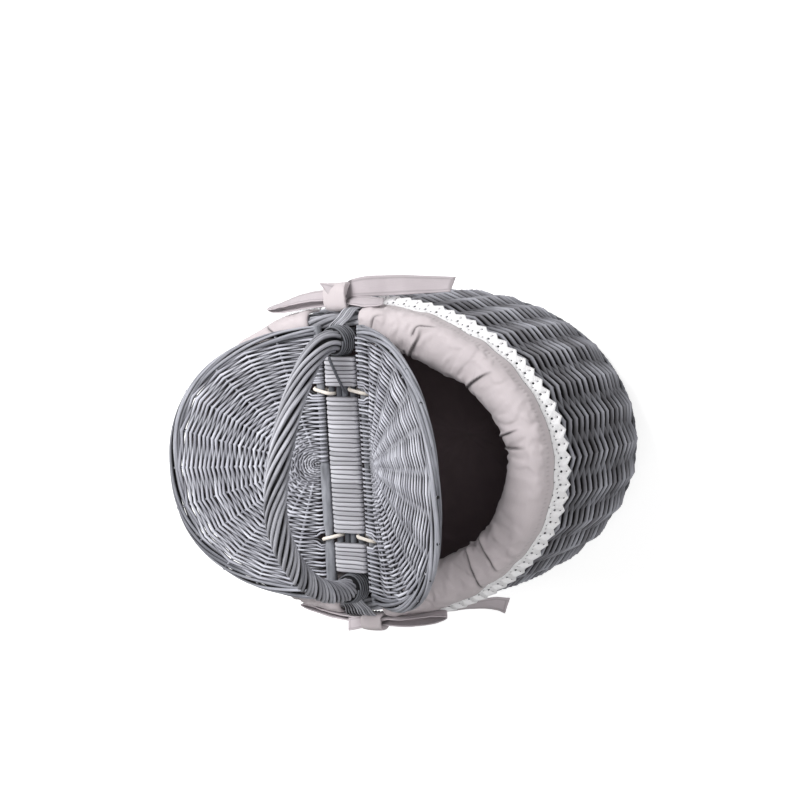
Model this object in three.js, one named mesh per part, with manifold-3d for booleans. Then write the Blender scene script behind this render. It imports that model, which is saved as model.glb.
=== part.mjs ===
// Oval picnic basket of woven willow: two lids hinged on a bar across the mouth, a fixed roped handle,
// and a cloth liner whose lace-edged cuffs fold out over the rim and tie in a bow at each handle foot.
// Millimetres, +Z up. The origin is the middle of the base's underside, and +X runs along the oval.
// Front is +Y. At rest the left lid is closed and the right lid stands open.

import * as THREE from 'three';
import { mergeVertices } from 'three/addons/utils/BufferGeometryUtils.js';
import Module from 'manifold-3d';

const wasm = await Module();
wasm.setup();

// Body
const BASE_HALF_LENGTH = 186;
const BASE_HALF_WIDTH = 146;
const BELLY_HALF_LENGTH = 208;
const BELLY_HALF_WIDTH = 156;
const BELLY_HEIGHT = 85;
const RIM_HALF_LENGTH = 195;
const RIM_HALF_WIDTH = 141;
const WALL_HEIGHT = 222;
const WALL_THICKNESS = 9;
const BASE_THICKNESS = 12;
const HOOP_HEIGHT = 18;
const HOOP_THICKNESS = 11;
const BORDER_THICKNESS = 14;
const BORDER_HEIGHT = 13;
const FOOT_ROUNDNESS = 2.5;
const SHOULDER_ROUNDNESS = 3;
const STAKES = 32;
const SIDE_ROWS = 39;
const WEAVE_DEPTH = 4;

// Handle
const HANDLE_RADIUS = 11;
const HANDLE_RISE = 128;
const HANDLE_LEAN = -28;
const HANDLE_FRONT_FOOT_PULL = 48;
const HANDLE_FRONT_CROWN_PULL = 45;
const HANDLE_BACK_FOOT_PULL = 70;
const HANDLE_BACK_CROWN_PULL = 25;
const PEG_RADIUS = 6;
const PEG_DEPTH = 40;
const BINDING_HEIGHT = 24;
const BINDING_THICKNESS = 3.2;

// Bar across the mouth and its hinge loops
const BAR_CORE_WIDTH = 30;
const BAR_CORE_THICKNESS = 8;
const CANE_THICKNESS = 1.8;
const HINGE_SPACING = 140;
const HINGE_GAP = 9;
const HINGE_LOOP_WIDTH = 4;
const HINGE_LOOP_THICKNESS = 1.8;
const HINGE_LOOP_SLACK = 0.4;
const HINGE_LOOP_STRIP = 5;

// Lids
const LID_LENGTH = 190;
const LID_HALF_WIDTH = 132;
const LID_SQUARENESS = 2.26;
const LID_THICKNESS = 7;
const LID_CROWN = 5;
const LID_RIBS = 11;
const LID_ROWS = 58;
const LID_FIRST_ROW = 4;
const LID_WEAVE_DEPTH = 2.5;
const LID_SKEW = 8;
const LID_BORDER_WIDTH = 13;
const LID_BORDER_HEIGHT = 12;
const HINGE_ROD_RADIUS = 6;
const HINGE_CLEARANCE = 1.5;
const RIGHT_LID_OPEN = 39;

// Liner
const CLOTH_THICKNESS = 1.5;
const LINER_EASE = 3;
const CUFF_THICKNESS = 3;
const CUFF_HALF_GAP = 25;
const CUFF_DROP = 24;
const CUFF_STAND_OFF = 3;
const CUFF_FOLDS = 24;
const CUFF_FOLD_DEPTH = 1.6;
const NECK_DEPTH = 4;
const NECK_LENGTH = 38;
const LACE_WIDTH = 16;
const LACE_THICKNESS = 1;

// Ribbon bows
const RIBBON_WIDTH = 17;
const RIBBON_THICKNESS = 1.5;
const KNOT_LENGTH = 21;
const KNOT_HEIGHT = 20;
const KNOT_COVER = 0.7;
const FRONT_KNOT_OFFSET = -11;
const BACK_KNOT_OFFSET = 11;
const KNOT_DROP = 8;
const KNOT_CORNER = 3;
const FRONT_LOOP_GAPE = 15;
const BACK_LOOP_GAPE = 8;
const LONG_LOOP_LENGTH = 78;
const FRONT_SHORT_LOOP_LENGTH = 40;
const BACK_SHORT_LOOP_LENGTH = 60;
const LONG_TAIL_LENGTH = 108;
const SHORT_TAIL_LENGTH = 16;
const TAIL_SLOPE = 32;
const BOW_LOOP_TURN = 8;
const FRONT_TAIL_TURN = 0;
const BACK_TAIL_TURN = 9;

// Clearance between neighbours
const FIT = 0.3;
const NOTCH_CLEARANCE = 0.6;

// Facets of the round shapes and steps of the curved ones
const OVAL_SIDES = 48;
const OVAL_DIVISIONS = 800;
const ROD_SIDES = 12;
const BORDER_SIDES = 8;
const CORNER_SEGMENTS = 3;
const HINGE_LOOP_SEGMENTS = 5;
const BOW_LOOP_SEGMENTS = 10;
const HOOP_STEPS = 2;
const WALL_STEPS = 6;
const HANDLE_STEPS = 36;
const POUCH_STEPS = 4;
const TAIL_STEPS = 12;

// Heights and places that follow from them
const borderTop = WALL_HEIGHT + FIT + BORDER_HEIGHT;
const borderMiddle = WALL_HEIGHT + FIT + BORDER_HEIGHT / 2;
const borderInset = WALL_THICKNESS / 2;
const borderReach = BORDER_THICKNESS / 2 - borderInset;
const cuffTop = borderTop + FIT + CUFF_THICKNESS;
const hingeHeight = cuffTop + FIT + LID_BORDER_HEIGHT / 2;
const handleFoot = RIM_HALF_WIDTH - borderInset - BORDER_THICKNESS / 2 - FIT - HANDLE_RADIUS;
const bindingRadius = HANDLE_RADIUS + FIT + BINDING_THICKNESS;
const barHalfLength = handleFoot - bindingRadius - FIT;
const wrapHalfWidth = BAR_CORE_WIDTH / 2 + FIT + CANE_THICKNESS;
const hingeReach = wrapHalfWidth + HINGE_CLEARANCE + HINGE_ROD_RADIUS;
const hingeLoopInner = Math.max(HINGE_ROD_RADIUS, BAR_CORE_THICKNESS / 2) + HINGE_LOOP_SLACK;
const hingeLoopOuter = hingeLoopInner + HINGE_LOOP_THICKNESS;
const neckInset = RIM_HALF_WIDTH - handleFoot + PEG_RADIUS + FIT + CLOTH_THICKNESS / 2;
const neckTop = WALL_HEIGHT - NECK_DEPTH;
const hemHeight = borderTop - CUFF_DROP;
const floorTop = BASE_THICKNESS + FIT;

// Half-length and half-width of the body at a height, set out or in by a distance
function ovalAt(z, outset = 0) {
  const below = Math.max(0, (BELLY_HEIGHT - z) / BELLY_HEIGHT) ** FOOT_ROUNDNESS;
  const above = Math.max(0, (z - BELLY_HEIGHT) / (WALL_HEIGHT - BELLY_HEIGHT));
  const shoulder = Math.min(1, above) ** SHOULDER_ROUNDNESS;
  const blend = (belly, base, rim) => belly - (belly - base) * below - (belly - rim) * shoulder;
  return {
    a: blend(BELLY_HALF_LENGTH, BASE_HALF_LENGTH, RIM_HALF_LENGTH) + outset,
    b: blend(BELLY_HALF_WIDTH, BASE_HALF_WIDTH, RIM_HALF_WIDTH) + outset,
    z,
  };
}

// A point on the middle axis of an oval
function onAxis(z) {
  return { a: 0, b: 0, z };
}

// Heights from low to high in even steps
function heights(low, high, steps) {
  return Array.from({ length: steps + 1 }, (_, i) => low + ((high - low) * i) / steps);
}

// Only positions and triangles are kept, doubles are merged and the faces are turned outwards
function closed(geometry) {
  geometry.deleteAttribute('normal');
  geometry.deleteAttribute('uv');
  const merged = mergeVertices(geometry, 1e-3);
  const position = merged.getAttribute('position');
  const index = merged.getIndex().array;
  const corners = [new THREE.Vector3(), new THREE.Vector3(), new THREE.Vector3()];
  const triangles = [];
  let volume = 0;
  for (let i = 0; i < index.length; i += 3) {
    const [p, q, r] = index.slice(i, i + 3);
    if (p === q || q === r || r === p) continue;
    triangles.push([p, q, r]);
    corners.forEach((corner, k) => corner.fromBufferAttribute(position, [p, q, r][k]));
    volume += corners[0].dot(corners[1].cross(corners[2]));
  }
  merged.setIndex(triangles.flatMap(([p, q, r]) => (volume < 0 ? [p, r, q] : [p, q, r])));
  return merged;
}

function toSolid(geometry) {
  const shape = closed(geometry);
  return new wasm.Manifold(new wasm.Mesh({
    numProp: 3,
    vertProperties: new Float32Array(shape.getAttribute('position').array),
    triVerts: new Uint32Array(shape.getIndex().array),
  }));
}

function toGeometry(solid) {
  const mesh = solid.getMesh();
  const geometry = new THREE.BufferGeometry();
  geometry.setAttribute('position', new THREE.BufferAttribute(mesh.vertProperties, 3));
  geometry.setIndex(new THREE.BufferAttribute(mesh.triVerts, 1));
  return geometry;
}

// An oval that a share from 0 to 1 runs round, squarer where its squareness is above 2
class Oval extends THREE.Curve {
  constructor(a, b, squareness = 2) {
    super();
    Object.assign(this, { a, b, power: 2 / squareness, arcLengthDivisions: OVAL_DIVISIONS });
  }

  getPoint(share, target = new THREE.Vector3()) {
    const spread = (value) => Math.sign(value) * Math.abs(value) ** this.power;
    const angle = 2 * Math.PI * share;
    return target.set(this.a * spread(Math.cos(angle)), this.b * spread(Math.sin(angle)), 0);
  }

  // Shares that lie evenly along the oval
  evenShares(count) {
    return turns(count).map((share) => this.getUtoTmapping(share));
  }
}

// Shares of a turn in even steps
function turns(count) {
  return Array.from({ length: count }, (_, i) => i / count);
}

// A solid swept round an oval from a profile of {a, b, z}, with a column of points at each share of a turn.
// push(column, point) may move a point out or in, and lift(column, point) up or down.
// A quad with two opposite points moved in, or towards z = 0, is split along the line between them.
function ovalSolid(profile, options = {}) {
  const { columns = turns(OVAL_SIDES), squareness = 2, push = () => 0, lift = () => 0 } = options;
  const geometry = new THREE.LatheGeometry(profile.map((p) => new THREE.Vector2(p.a, p.z)), columns.length);
  const position = geometry.getAttribute('position');
  const index = geometry.getIndex();
  const pointOf = (i) => profile[i % profile.length];
  const columnOf = (i) => Math.floor(i / profile.length) % columns.length;
  const pushed = (i) => (pointOf(i).a > 0 ? push(columnOf(i), pointOf(i)) : 0);
  const lifted = (i) => (pointOf(i).a > 0 ? lift(columnOf(i), pointOf(i)) : 0);
  const isDeep = (i) => pushed(i) < 0 || lifted(i) * pointOf(i).z < 0;
  for (let i = 0; i < position.count; i += 1) {
    const { a, b, z } = pointOf(i);
    const place = new Oval(a + pushed(i), b + pushed(i), squareness).getPoint(columns[columnOf(i)]);
    position.setXYZ(i, place.x, place.y, z + lifted(i));
  }
  for (let i = 0; i < index.count; i += 6) {
    const [a, b, d, c] = index.array.slice(i, i + 4);
    if (isDeep(a) && isDeep(c)) index.array.set([a, b, c, a, c, d], i);
  }
  return closed(geometry);
}

// A closed profile of even thickness along a line of {a, b, z}
function thicken(line, thickness) {
  const offset = (side) => line.map((point, i) => {
    const before = line[Math.max(0, i - 1)];
    const after = line[Math.min(line.length - 1, i + 1)];
    const run = Math.hypot(after.a - before.a, after.z - before.z);
    const out = (side * thickness * (after.z - before.z)) / (2 * run);
    const up = (-side * thickness * (after.a - before.a)) / (2 * run);
    return { a: point.a + out, b: point.b + out, z: point.z + up, along: i / (line.length - 1) };
  });
  const ring = [...offset(1), ...offset(-1).reverse()];
  return [...ring, ring[0]];
}

function boxBetween(low, high) {
  const size = high.map((value, i) => value - low[i]);
  const geometry = new THREE.BoxGeometry(...size);
  return geometry.translate(...low.map((value, i) => value + size[i] / 2));
}

function roundedRectangle(width, height, corner) {
  const shape = new THREE.Shape();
  const [x, y] = [width / 2, height / 2];
  shape.absarc(x - corner, y - corner, corner, 0, Math.PI / 2);
  shape.absarc(corner - x, y - corner, corner, Math.PI / 2, Math.PI);
  shape.absarc(corner - x, corner - y, corner, Math.PI, 1.5 * Math.PI);
  shape.absarc(x - corner, corner - y, corner, 1.5 * Math.PI, 2 * Math.PI);
  return shape;
}

// A flat outline drawn in X and Z, given a width along Y
function extrudeAlongY(shape, width, curveSegments = CORNER_SEGMENTS) {
  const geometry = new THREE.ExtrudeGeometry(shape, { depth: width, bevelEnabled: false, curveSegments });
  return closed(geometry.translate(0, 0, -width / 2).rotateX(Math.PI / 2));
}

function rodAlongY(radius, length) {
  return closed(new THREE.CylinderGeometry(radius, radius, length, ROD_SIDES));
}

// Finishes
const willow = { color: 0x6d6f76, roughness: 0.62 };
const darkWillow = { color: 0x585b62, roughness: 0.6 };
const paleWillow = { color: 0xa2a3ab, roughness: 0.6 };
const cane = { color: 0xa9a7ab, roughness: 0.5 };
const creamCane = { color: 0xe1d7c8, roughness: 0.5 };
const paleCotton = { color: 0xd3cbcb, roughness: 0.9 };
const darkCotton = { color: 0x2b2526, roughness: 0.95 };
const whiteLace = { color: 0xf1eeee, roughness: 0.9 };

function piece(name, geometry, finish) {
  const mesh = new THREE.Mesh(geometry, new THREE.MeshStandardMaterial({ metalness: 0, ...finish }));
  mesh.name = name;
  return mesh;
}

const basket = new THREE.Group();

// Base: a flat woven oval inside the hoop that the basket stands on
function makeBase() {
  const edge = ovalAt(0, -HOOP_THICKNESS - FIT);
  const panel = [onAxis(0), edge, { ...edge, z: BASE_THICKNESS }, onAxis(BASE_THICKNESS)];
  const levels = heights(0, HOOP_HEIGHT, HOOP_STEPS);
  const outer = levels.map((z) => ovalAt(z));
  const inner = levels.map((z) => ovalAt(z, -HOOP_THICKNESS)).reverse();
  const hoop = [...outer, ...inner, outer[0]];
  basket.add(piece('base_panel', ovalSolid(panel), willow));
  basket.add(piece('base_hoop', ovalSolid(hoop), darkWillow));
}

// Side wall, whose rows go in front of one stake and behind the next, and the thick border along its top
function makeWall() {
  const foot = HOOP_HEIGHT + FIT;
  const rowHeight = (WALL_HEIGHT - foot) / SIDE_ROWS;
  const rows = heights(foot + rowHeight / 2, WALL_HEIGHT - rowHeight / 2, SIDE_ROWS - 1);
  const outer = [ovalAt(foot), ...rows.map((z, row) => ({ ...ovalAt(z), row })), ovalAt(WALL_HEIGHT)];
  const inner = heights(foot, WALL_HEIGHT, WALL_STEPS).map((z) => ovalAt(z, -WALL_THICKNESS)).reverse();
  const columns = new Oval(BELLY_HALF_LENGTH, BELLY_HALF_WIDTH).evenShares(STAKES);
  const push = (stake, { row }) => ((stake + row) % 2 === 0 ? -WEAVE_DEPTH : 0);
  basket.add(piece('side_wall', ovalSolid([...outer, ...inner, outer[0]], { columns, push }), willow));

  const middle = ovalAt(WALL_HEIGHT, -borderInset);
  const ring = Array.from({ length: BORDER_SIDES + 1 }, (_, i) => {
    const angle = (2 * Math.PI * ((i % BORDER_SIDES) + 0.5)) / BORDER_SIDES;
    const reach = 1 / Math.cos(Math.PI / BORDER_SIDES);
    const out = (BORDER_THICKNESS / 2) * reach * Math.cos(angle);
    const up = (BORDER_HEIGHT / 2) * reach * Math.sin(angle);
    return { a: middle.a + out, b: middle.b + out, z: borderMiddle + up };
  });
  basket.add(piece('rim_border', ovalSolid(ring), darkWillow));
}

// Handle: a roped bow that leans a little to the back, with a peg at each foot inside the border
function makeHandle() {
  const foot = WALL_HEIGHT + FIT;
  const straight = borderTop + FIT + BINDING_HEIGHT + FIT;
  const crown = borderTop + HANDLE_RISE;
  const at = (y, z) => new THREE.Vector3(0, y, z);
  const bow = new THREE.CurvePath();
  bow.add(new THREE.LineCurve3(at(handleFoot, foot), at(handleFoot, straight)));
  bow.add(new THREE.CubicBezierCurve3(
    at(handleFoot, straight),
    at(handleFoot, straight + HANDLE_FRONT_FOOT_PULL),
    at(HANDLE_LEAN + HANDLE_FRONT_CROWN_PULL, crown),
    at(HANDLE_LEAN, crown),
  ));
  bow.add(new THREE.CubicBezierCurve3(
    at(HANDLE_LEAN, crown),
    at(HANDLE_LEAN - HANDLE_BACK_CROWN_PULL, crown),
    at(-handleFoot, straight + HANDLE_BACK_FOOT_PULL),
    at(-handleFoot, straight),
  ));
  bow.add(new THREE.LineCurve3(at(-handleFoot, straight), at(-handleFoot, foot)));
  const section = new THREE.Shape().absarc(0, 0, HANDLE_RADIUS, 0, 2 * Math.PI);
  let solid = toSolid(new THREE.ExtrudeGeometry(section, {
    steps: HANDLE_STEPS,
    curveSegments: ROD_SIDES / 2,
    extrudePath: bow,
  }));
  const pegLength = PEG_DEPTH + HANDLE_RADIUS;
  for (const side of [1, -1]) {
    const peg = new THREE.CylinderGeometry(PEG_RADIUS, PEG_RADIUS, pegLength, ROD_SIDES);
    peg.rotateX(Math.PI / 2).translate(0, side * handleFoot, foot - PEG_DEPTH + pegLength / 2);
    solid = solid.add(toSolid(peg));
  }
  basket.add(piece('handle_bow', toGeometry(solid), darkWillow));
}

// Bindings: rods wound round each foot of the handle, standing on the border
function makeBindings() {
  const inner = HANDLE_RADIUS + FIT;
  const round = BINDING_THICKNESS / 2;
  const low = borderTop + FIT;
  const high = low + BINDING_HEIGHT;
  const profile = [
    [inner, low], [inner + round, low], [bindingRadius, low + round],
    [bindingRadius, high - round], [inner + round, high], [inner, high], [inner, low],
  ].map(([radius, z]) => ({ a: radius, b: radius, z }));
  for (const [name, side] of [['front', 1], ['back', -1]]) {
    const ring = ovalSolid(profile, { columns: turns(2 * ROD_SIDES) });
    const binding = piece(`handle_binding_${name}`, ring, darkWillow);
    binding.position.y = side * handleFoot;
    basket.add(binding);
  }
}

// Bar: a flat lath between the bindings, slotted for the hinge loops and wound with cane between them
function makeBar() {
  const slotOuter = BAR_CORE_WIDTH / 2 - HINGE_LOOP_STRIP;
  const arcReach = Math.sqrt(hingeLoopInner ** 2 - (BAR_CORE_THICKNESS / 2) ** 2);
  const loopEnd = slotOuter + arcReach - FIT;
  const slotInner = loopEnd - hingeLoopOuter - FIT;
  const halfThickness = BAR_CORE_THICKNESS / 2;
  const halfSlot = HINGE_LOOP_WIDTH / 2 + FIT;
  const hinges = [['front', HINGE_SPACING / 2], ['back', -HINGE_SPACING / 2]];
  const sides = [['left', -1], ['right', 1]];
  const bar = new THREE.Group();
  bar.position.z = hingeHeight;
  basket.add(bar);

  let lath = toSolid(boxBetween(
    [-BAR_CORE_WIDTH / 2, -barHalfLength, -halfThickness],
    [BAR_CORE_WIDTH / 2, barHalfLength, halfThickness],
  ));
  for (const [, y] of hinges) {
    for (const [, side] of sides) {
      const [x0, x1] = [side * slotInner, side * slotOuter].sort((p, q) => p - q);
      lath = lath.subtract(toSolid(boxBetween(
        [x0, y - halfSlot, -BAR_CORE_THICKNESS],
        [x1, y + halfSlot, BAR_CORE_THICKNESS],
      )));
    }
  }
  bar.add(piece('bar_core', toGeometry(lath), willow));

  const wrapHeight = BAR_CORE_THICKNESS + 2 * (FIT + CANE_THICKNESS);
  const wrapShape = roundedRectangle(2 * wrapHalfWidth, wrapHeight, CANE_THICKNESS);
  const room = toSolid(boxBetween(
    [-BAR_CORE_WIDTH / 2 - FIT, -2 * barHalfLength, -halfThickness - FIT],
    [BAR_CORE_WIDTH / 2 + FIT, 2 * barHalfLength, halfThickness + FIT],
  ));
  const gapInner = (HINGE_SPACING - HINGE_GAP) / 2;
  const gapOuter = (HINGE_SPACING + HINGE_GAP) / 2;
  const runs = [
    ['front', gapOuter, barHalfLength],
    ['middle', -gapInner, gapInner],
    ['back', -barHalfLength, -gapOuter],
  ];
  for (const [name, from, to] of runs) {
    const sleeve = toSolid(extrudeAlongY(wrapShape, to - from)).subtract(room);
    const wrap = piece(`bar_wrap_${name}`, toGeometry(sleeve), cane);
    wrap.position.y = (from + to) / 2;
    bar.add(wrap);
  }

  for (const [where, y] of hinges) {
    for (const [name, side] of sides) {
      const outline = stadium(loopEnd, hingeReach, hingeLoopOuter);
      outline.holes.push(stadium(loopEnd, hingeReach, hingeLoopInner));
      const band = extrudeAlongY(outline, HINGE_LOOP_WIDTH, HINGE_LOOP_SEGMENTS);
      const loop = piece(`hinge_loop_${name}_${where}`, band, creamCane);
      loop.position.y = y;
      loop.rotation.z = side < 0 ? Math.PI : 0;
      bar.add(loop);
    }
  }
}

function stadium(from, to, radius) {
  const shape = new THREE.Shape();
  shape.absarc(to, 0, radius, -Math.PI / 2, Math.PI / 2);
  shape.absarc(from, 0, radius, Math.PI / 2, 1.5 * Math.PI);
  return shape;
}

// Lid: hinge rod along its straight side, crowned panel and curved border, in the frame of its hinge.
// The panel's rows go over one rib and under the next; the ribs spread from the middle of the rod.
// Its tip lies a little off the middle, to the side that skewSide says.
function makeLid(name, skewSide) {
  const lid = new THREE.Group();
  const straightEdge = HINGE_ROD_RADIUS + FIT;
  const halfPlane = toSolid(boxBetween(
    [straightEdge, -2 * LID_HALF_WIDTH, -LID_LENGTH],
    [2 * LID_LENGTH, 2 * LID_HALF_WIDTH, LID_LENGTH],
  ));
  const outline = (inset, z, share = 1) => ({
    a: (LID_LENGTH - inset) * share,
    b: (LID_HALF_WIDTH - inset) * share,
    z,
  });
  const columns = new Oval(LID_LENGTH, LID_HALF_WIDTH, LID_SQUARENESS).evenShares(4 * (LID_RIBS + 1));
  const ribs = columns.filter((_, i) => i % 2 === 0);
  const skewed = (profile, options = { columns }) => {
    const shape = ovalSolid(profile, { squareness: LID_SQUARENESS, ...options });
    const position = shape.getAttribute('position');
    for (let i = 0; i < position.count; i += 1) {
      position.setY(i, position.getY(i) + (skewSide * LID_SKEW * position.getX(i)) / LID_LENGTH);
    }
    return toSolid(shape);
  };

  const panelInset = LID_BORDER_WIDTH + FIT;
  const rows = heights(LID_FIRST_ROW, LID_ROWS + 1, LID_ROWS + 1 - LID_FIRST_ROW);
  const face = (z) => rows.map((row) => ({ ...outline(panelInset, z, (row + 0.5) / LID_ROWS), row }));
  const woven = [
    onAxis(-LID_THICKNESS / 2), ...face(-LID_THICKNESS / 2),
    ...face(LID_THICKNESS / 2).reverse(), onAxis(LID_THICKNESS / 2),
  ];
  const lift = (rib, { row, z }) => {
    const isOver = (rib + row) % 2 === 1;
    return isOver === z > 0 ? 0 : -Math.sign(z) * LID_WEAVE_DEPTH;
  };
  const edge = [
    onAxis(-LID_THICKNESS), outline(panelInset, -LID_THICKNESS),
    outline(panelInset, LID_THICKNESS), onAxis(LID_THICKNESS),
  ];
  let panel = skewed(woven, { columns: ribs, lift }).intersect(skewed(edge)).intersect(halfPlane);
  const notch = hingeLoopOuter + NOTCH_CLEARANCE;
  const halfNotch = HINGE_LOOP_WIDTH / 2 + NOTCH_CLEARANCE;
  for (const y of [HINGE_SPACING / 2, -HINGE_SPACING / 2]) {
    panel = panel.subtract(toSolid(boxBetween(
      [0, y - halfNotch, -LID_THICKNESS],
      [notch, y + halfNotch, LID_THICKNESS],
    )));
  }
  const panelShape = toGeometry(panel);
  const position = panelShape.getAttribute('position');
  for (let i = 0; i < position.count; i += 1) {
    const along = (position.getX(i) - notch) / (LID_LENGTH - panelInset - notch);
    const across = position.getY(i) / (LID_HALF_WIDTH - panelInset);
    const rise = LID_CROWN * Math.max(0, 4 * along * (1 - along)) * Math.max(0, 1 - across ** 2);
    position.setZ(i, position.getZ(i) + rise);
  }
  lid.add(piece(`${name}_lid_panel`, panelShape, paleWillow));

  const round = LID_BORDER_HEIGHT / 4;
  const half = LID_BORDER_HEIGHT / 2;
  const borderProfile = [
    outline(0, -half + round), outline(0, half - round), outline(round, half),
    outline(LID_BORDER_WIDTH - round, half), outline(LID_BORDER_WIDTH, half - round),
    outline(LID_BORDER_WIDTH, -half + round), outline(LID_BORDER_WIDTH - round, -half),
    outline(round, -half), outline(0, -half + round),
  ];
  const border = skewed(borderProfile).intersect(halfPlane);
  lid.add(piece(`${name}_lid_border`, toGeometry(border), paleWillow));

  const rod = rodAlongY(HINGE_ROD_RADIUS, 2 * LID_HALF_WIDTH);
  lid.add(piece(`${name}_lid_hinge_rod`, rod, willow));
  return lid;
}

function makeLids() {
  const left = makeLid('left', 1);
  left.position.set(-hingeReach, 0, hingeHeight);
  left.rotation.z = Math.PI;
  const right = makeLid('right', -1);
  right.position.set(hingeReach, 0, hingeHeight);
  right.rotation.y = -THREE.MathUtils.degToRad(RIGHT_LID_OPEN);
  basket.add(left, right);
}

// Outset of the skirt of a cuff from the rim, at its widest on the border and at its hem
const skirtTop = borderReach + FIT + CUFF_THICKNESS / 2 + BORDER_HEIGHT / 3;
const hemOval = ovalAt(hemHeight);
const bulge = Math.max(hemOval.a - RIM_HALF_LENGTH, hemOval.b - RIM_HALF_WIDTH);
const skirtHem = bulge + CUFF_STAND_OFF + CUFF_THICKNESS / 2;

// How far the cuff and its lace reach out from the rim, from their top down to a height
function reachAt(z) {
  const share = Math.min(1, (borderMiddle - z) / (borderMiddle - hemHeight));
  const skirt = skirtTop + (skirtHem - skirtTop) * share + CUFF_THICKNESS / 2 + CUFF_FOLD_DEPTH * share;
  const wall = ovalAt(Math.max(z, hemHeight - FIT - LACE_WIDTH), CUFF_STAND_OFF);
  const bulgeHere = Math.max(wall.a - RIM_HALF_LENGTH, wall.b - RIM_HALF_WIDTH);
  const lace = bulgeHere + LACE_THICKNESS + CUFF_FOLD_DEPTH;
  return z < hemHeight ? Math.max(skirt, lace) : skirt;
}

// How far out in Y the wall, or the cuff and lace in front of it, lie at a place along the oval
function edgeOf(x, z) {
  const across = ({ a, b }) => b * Math.sqrt(Math.max(0, 1 - (x / a) ** 2));
  const wall = across(ovalAt(z));
  const lowest = hemHeight - FIT - LACE_WIDTH;
  return z < lowest ? wall : Math.max(wall, across(ovalAt(WALL_HEIGHT, reachAt(z))));
}

// Line of a cuff, from its sewn edge in the mouth, over the border and down to its hem
function cuffLine() {
  const half = CUFF_THICKNESS / 2;
  const crest = borderTop + FIT + half;
  const inside = -borderInset - BORDER_THICKNESS / 2 - FIT - half;
  const line = [
    [-neckInset, neckTop + FIT + half],
    [(inside - neckInset) / 2 - half, borderTop - BORDER_HEIGHT / 3],
    [inside, crest],
    [0, crest],
    [borderReach + FIT, crest - half],
    [skirtTop, borderMiddle],
    [skirtHem, hemHeight],
  ];
  return line.map(([outset, z]) => ({ ...ovalAt(WALL_HEIGHT, outset), z }));
}

// A ring cut into a left and a right half that leave the handle's feet free
function addHalves(name, ring, finish) {
  const reach = 2 * BELLY_HALF_LENGTH;
  const solid = toSolid(ring);
  const right = toSolid(boxBetween([CUFF_HALF_GAP, -reach, -reach], [reach, reach, reach]));
  const left = toSolid(boxBetween([-reach, -reach, -reach], [-CUFF_HALF_GAP, reach, reach]));
  basket.add(piece(`${name}_left`, toGeometry(solid.intersect(left)), finish));
  basket.add(piece(`${name}_right`, toGeometry(solid.intersect(right)), finish));
}

// Liner: an inner pouch drawn in at its neck, the folded cuffs and the lace below their hems
function makeLiner() {
  const half = CLOTH_THICKNESS / 2;
  const shoulder = neckTop - NECK_LENGTH;
  const bodyLevels = heights(floorTop + half, shoulder - NECK_LENGTH, POUCH_STEPS);
  const hang = WALL_THICKNESS + LINER_EASE + half;
  const floorEdge = ovalAt(0, -HOOP_THICKNESS - hang);
  const line = [
    { ...floorEdge, z: floorTop + half },
    ...bodyLevels.slice(1).map((z) => ovalAt(z, -hang)),
    { ...ovalAt(WALL_HEIGHT, -neckInset), z: shoulder },
    { ...ovalAt(WALL_HEIGHT, -neckInset), z: neckTop },
  ];
  const ring = thicken(line, CLOTH_THICKNESS).slice(0, -1);
  const outer = ring.slice(0, line.length);
  const inner = ring.slice(line.length);
  const floor = (point, z) => ({ ...point, z });
  const profile = [
    onAxis(floorTop), floor(outer[0], floorTop), ...outer.slice(1),
    ...inner.slice(0, -1), floor(inner[inner.length - 1], floorTop + CLOTH_THICKNESS),
    onAxis(floorTop + CLOTH_THICKNESS),
  ];
  basket.add(piece('liner_pouch', ovalSolid(profile), darkCotton));

  const columns = turns(2 * OVAL_SIDES);
  const fold = (column) => CUFF_FOLD_DEPTH * Math.cos(2 * Math.PI * CUFF_FOLDS * columns[column]);
  const skirtFold = (column, { along }) => Math.max(0, 2 * along - 1) * fold(column);
  const cuff = cuffLine();
  addHalves('cuff', ovalSolid(thicken(cuff, CUFF_THICKNESS), { columns, push: skirtFold }), paleCotton);

  const hem = cuff[cuff.length - 1];
  const lace = [hemHeight - FIT, hemHeight - FIT - LACE_WIDTH].map((z) => {
    const wall = ovalAt(z, CUFF_STAND_OFF);
    return { a: Math.max(hem.a, wall.a), b: Math.max(hem.b, wall.b), z };
  });
  addHalves('lace', ovalSolid(thicken(lace, LACE_THICKNESS), { columns, push: fold }), whiteLace);
}

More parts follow.
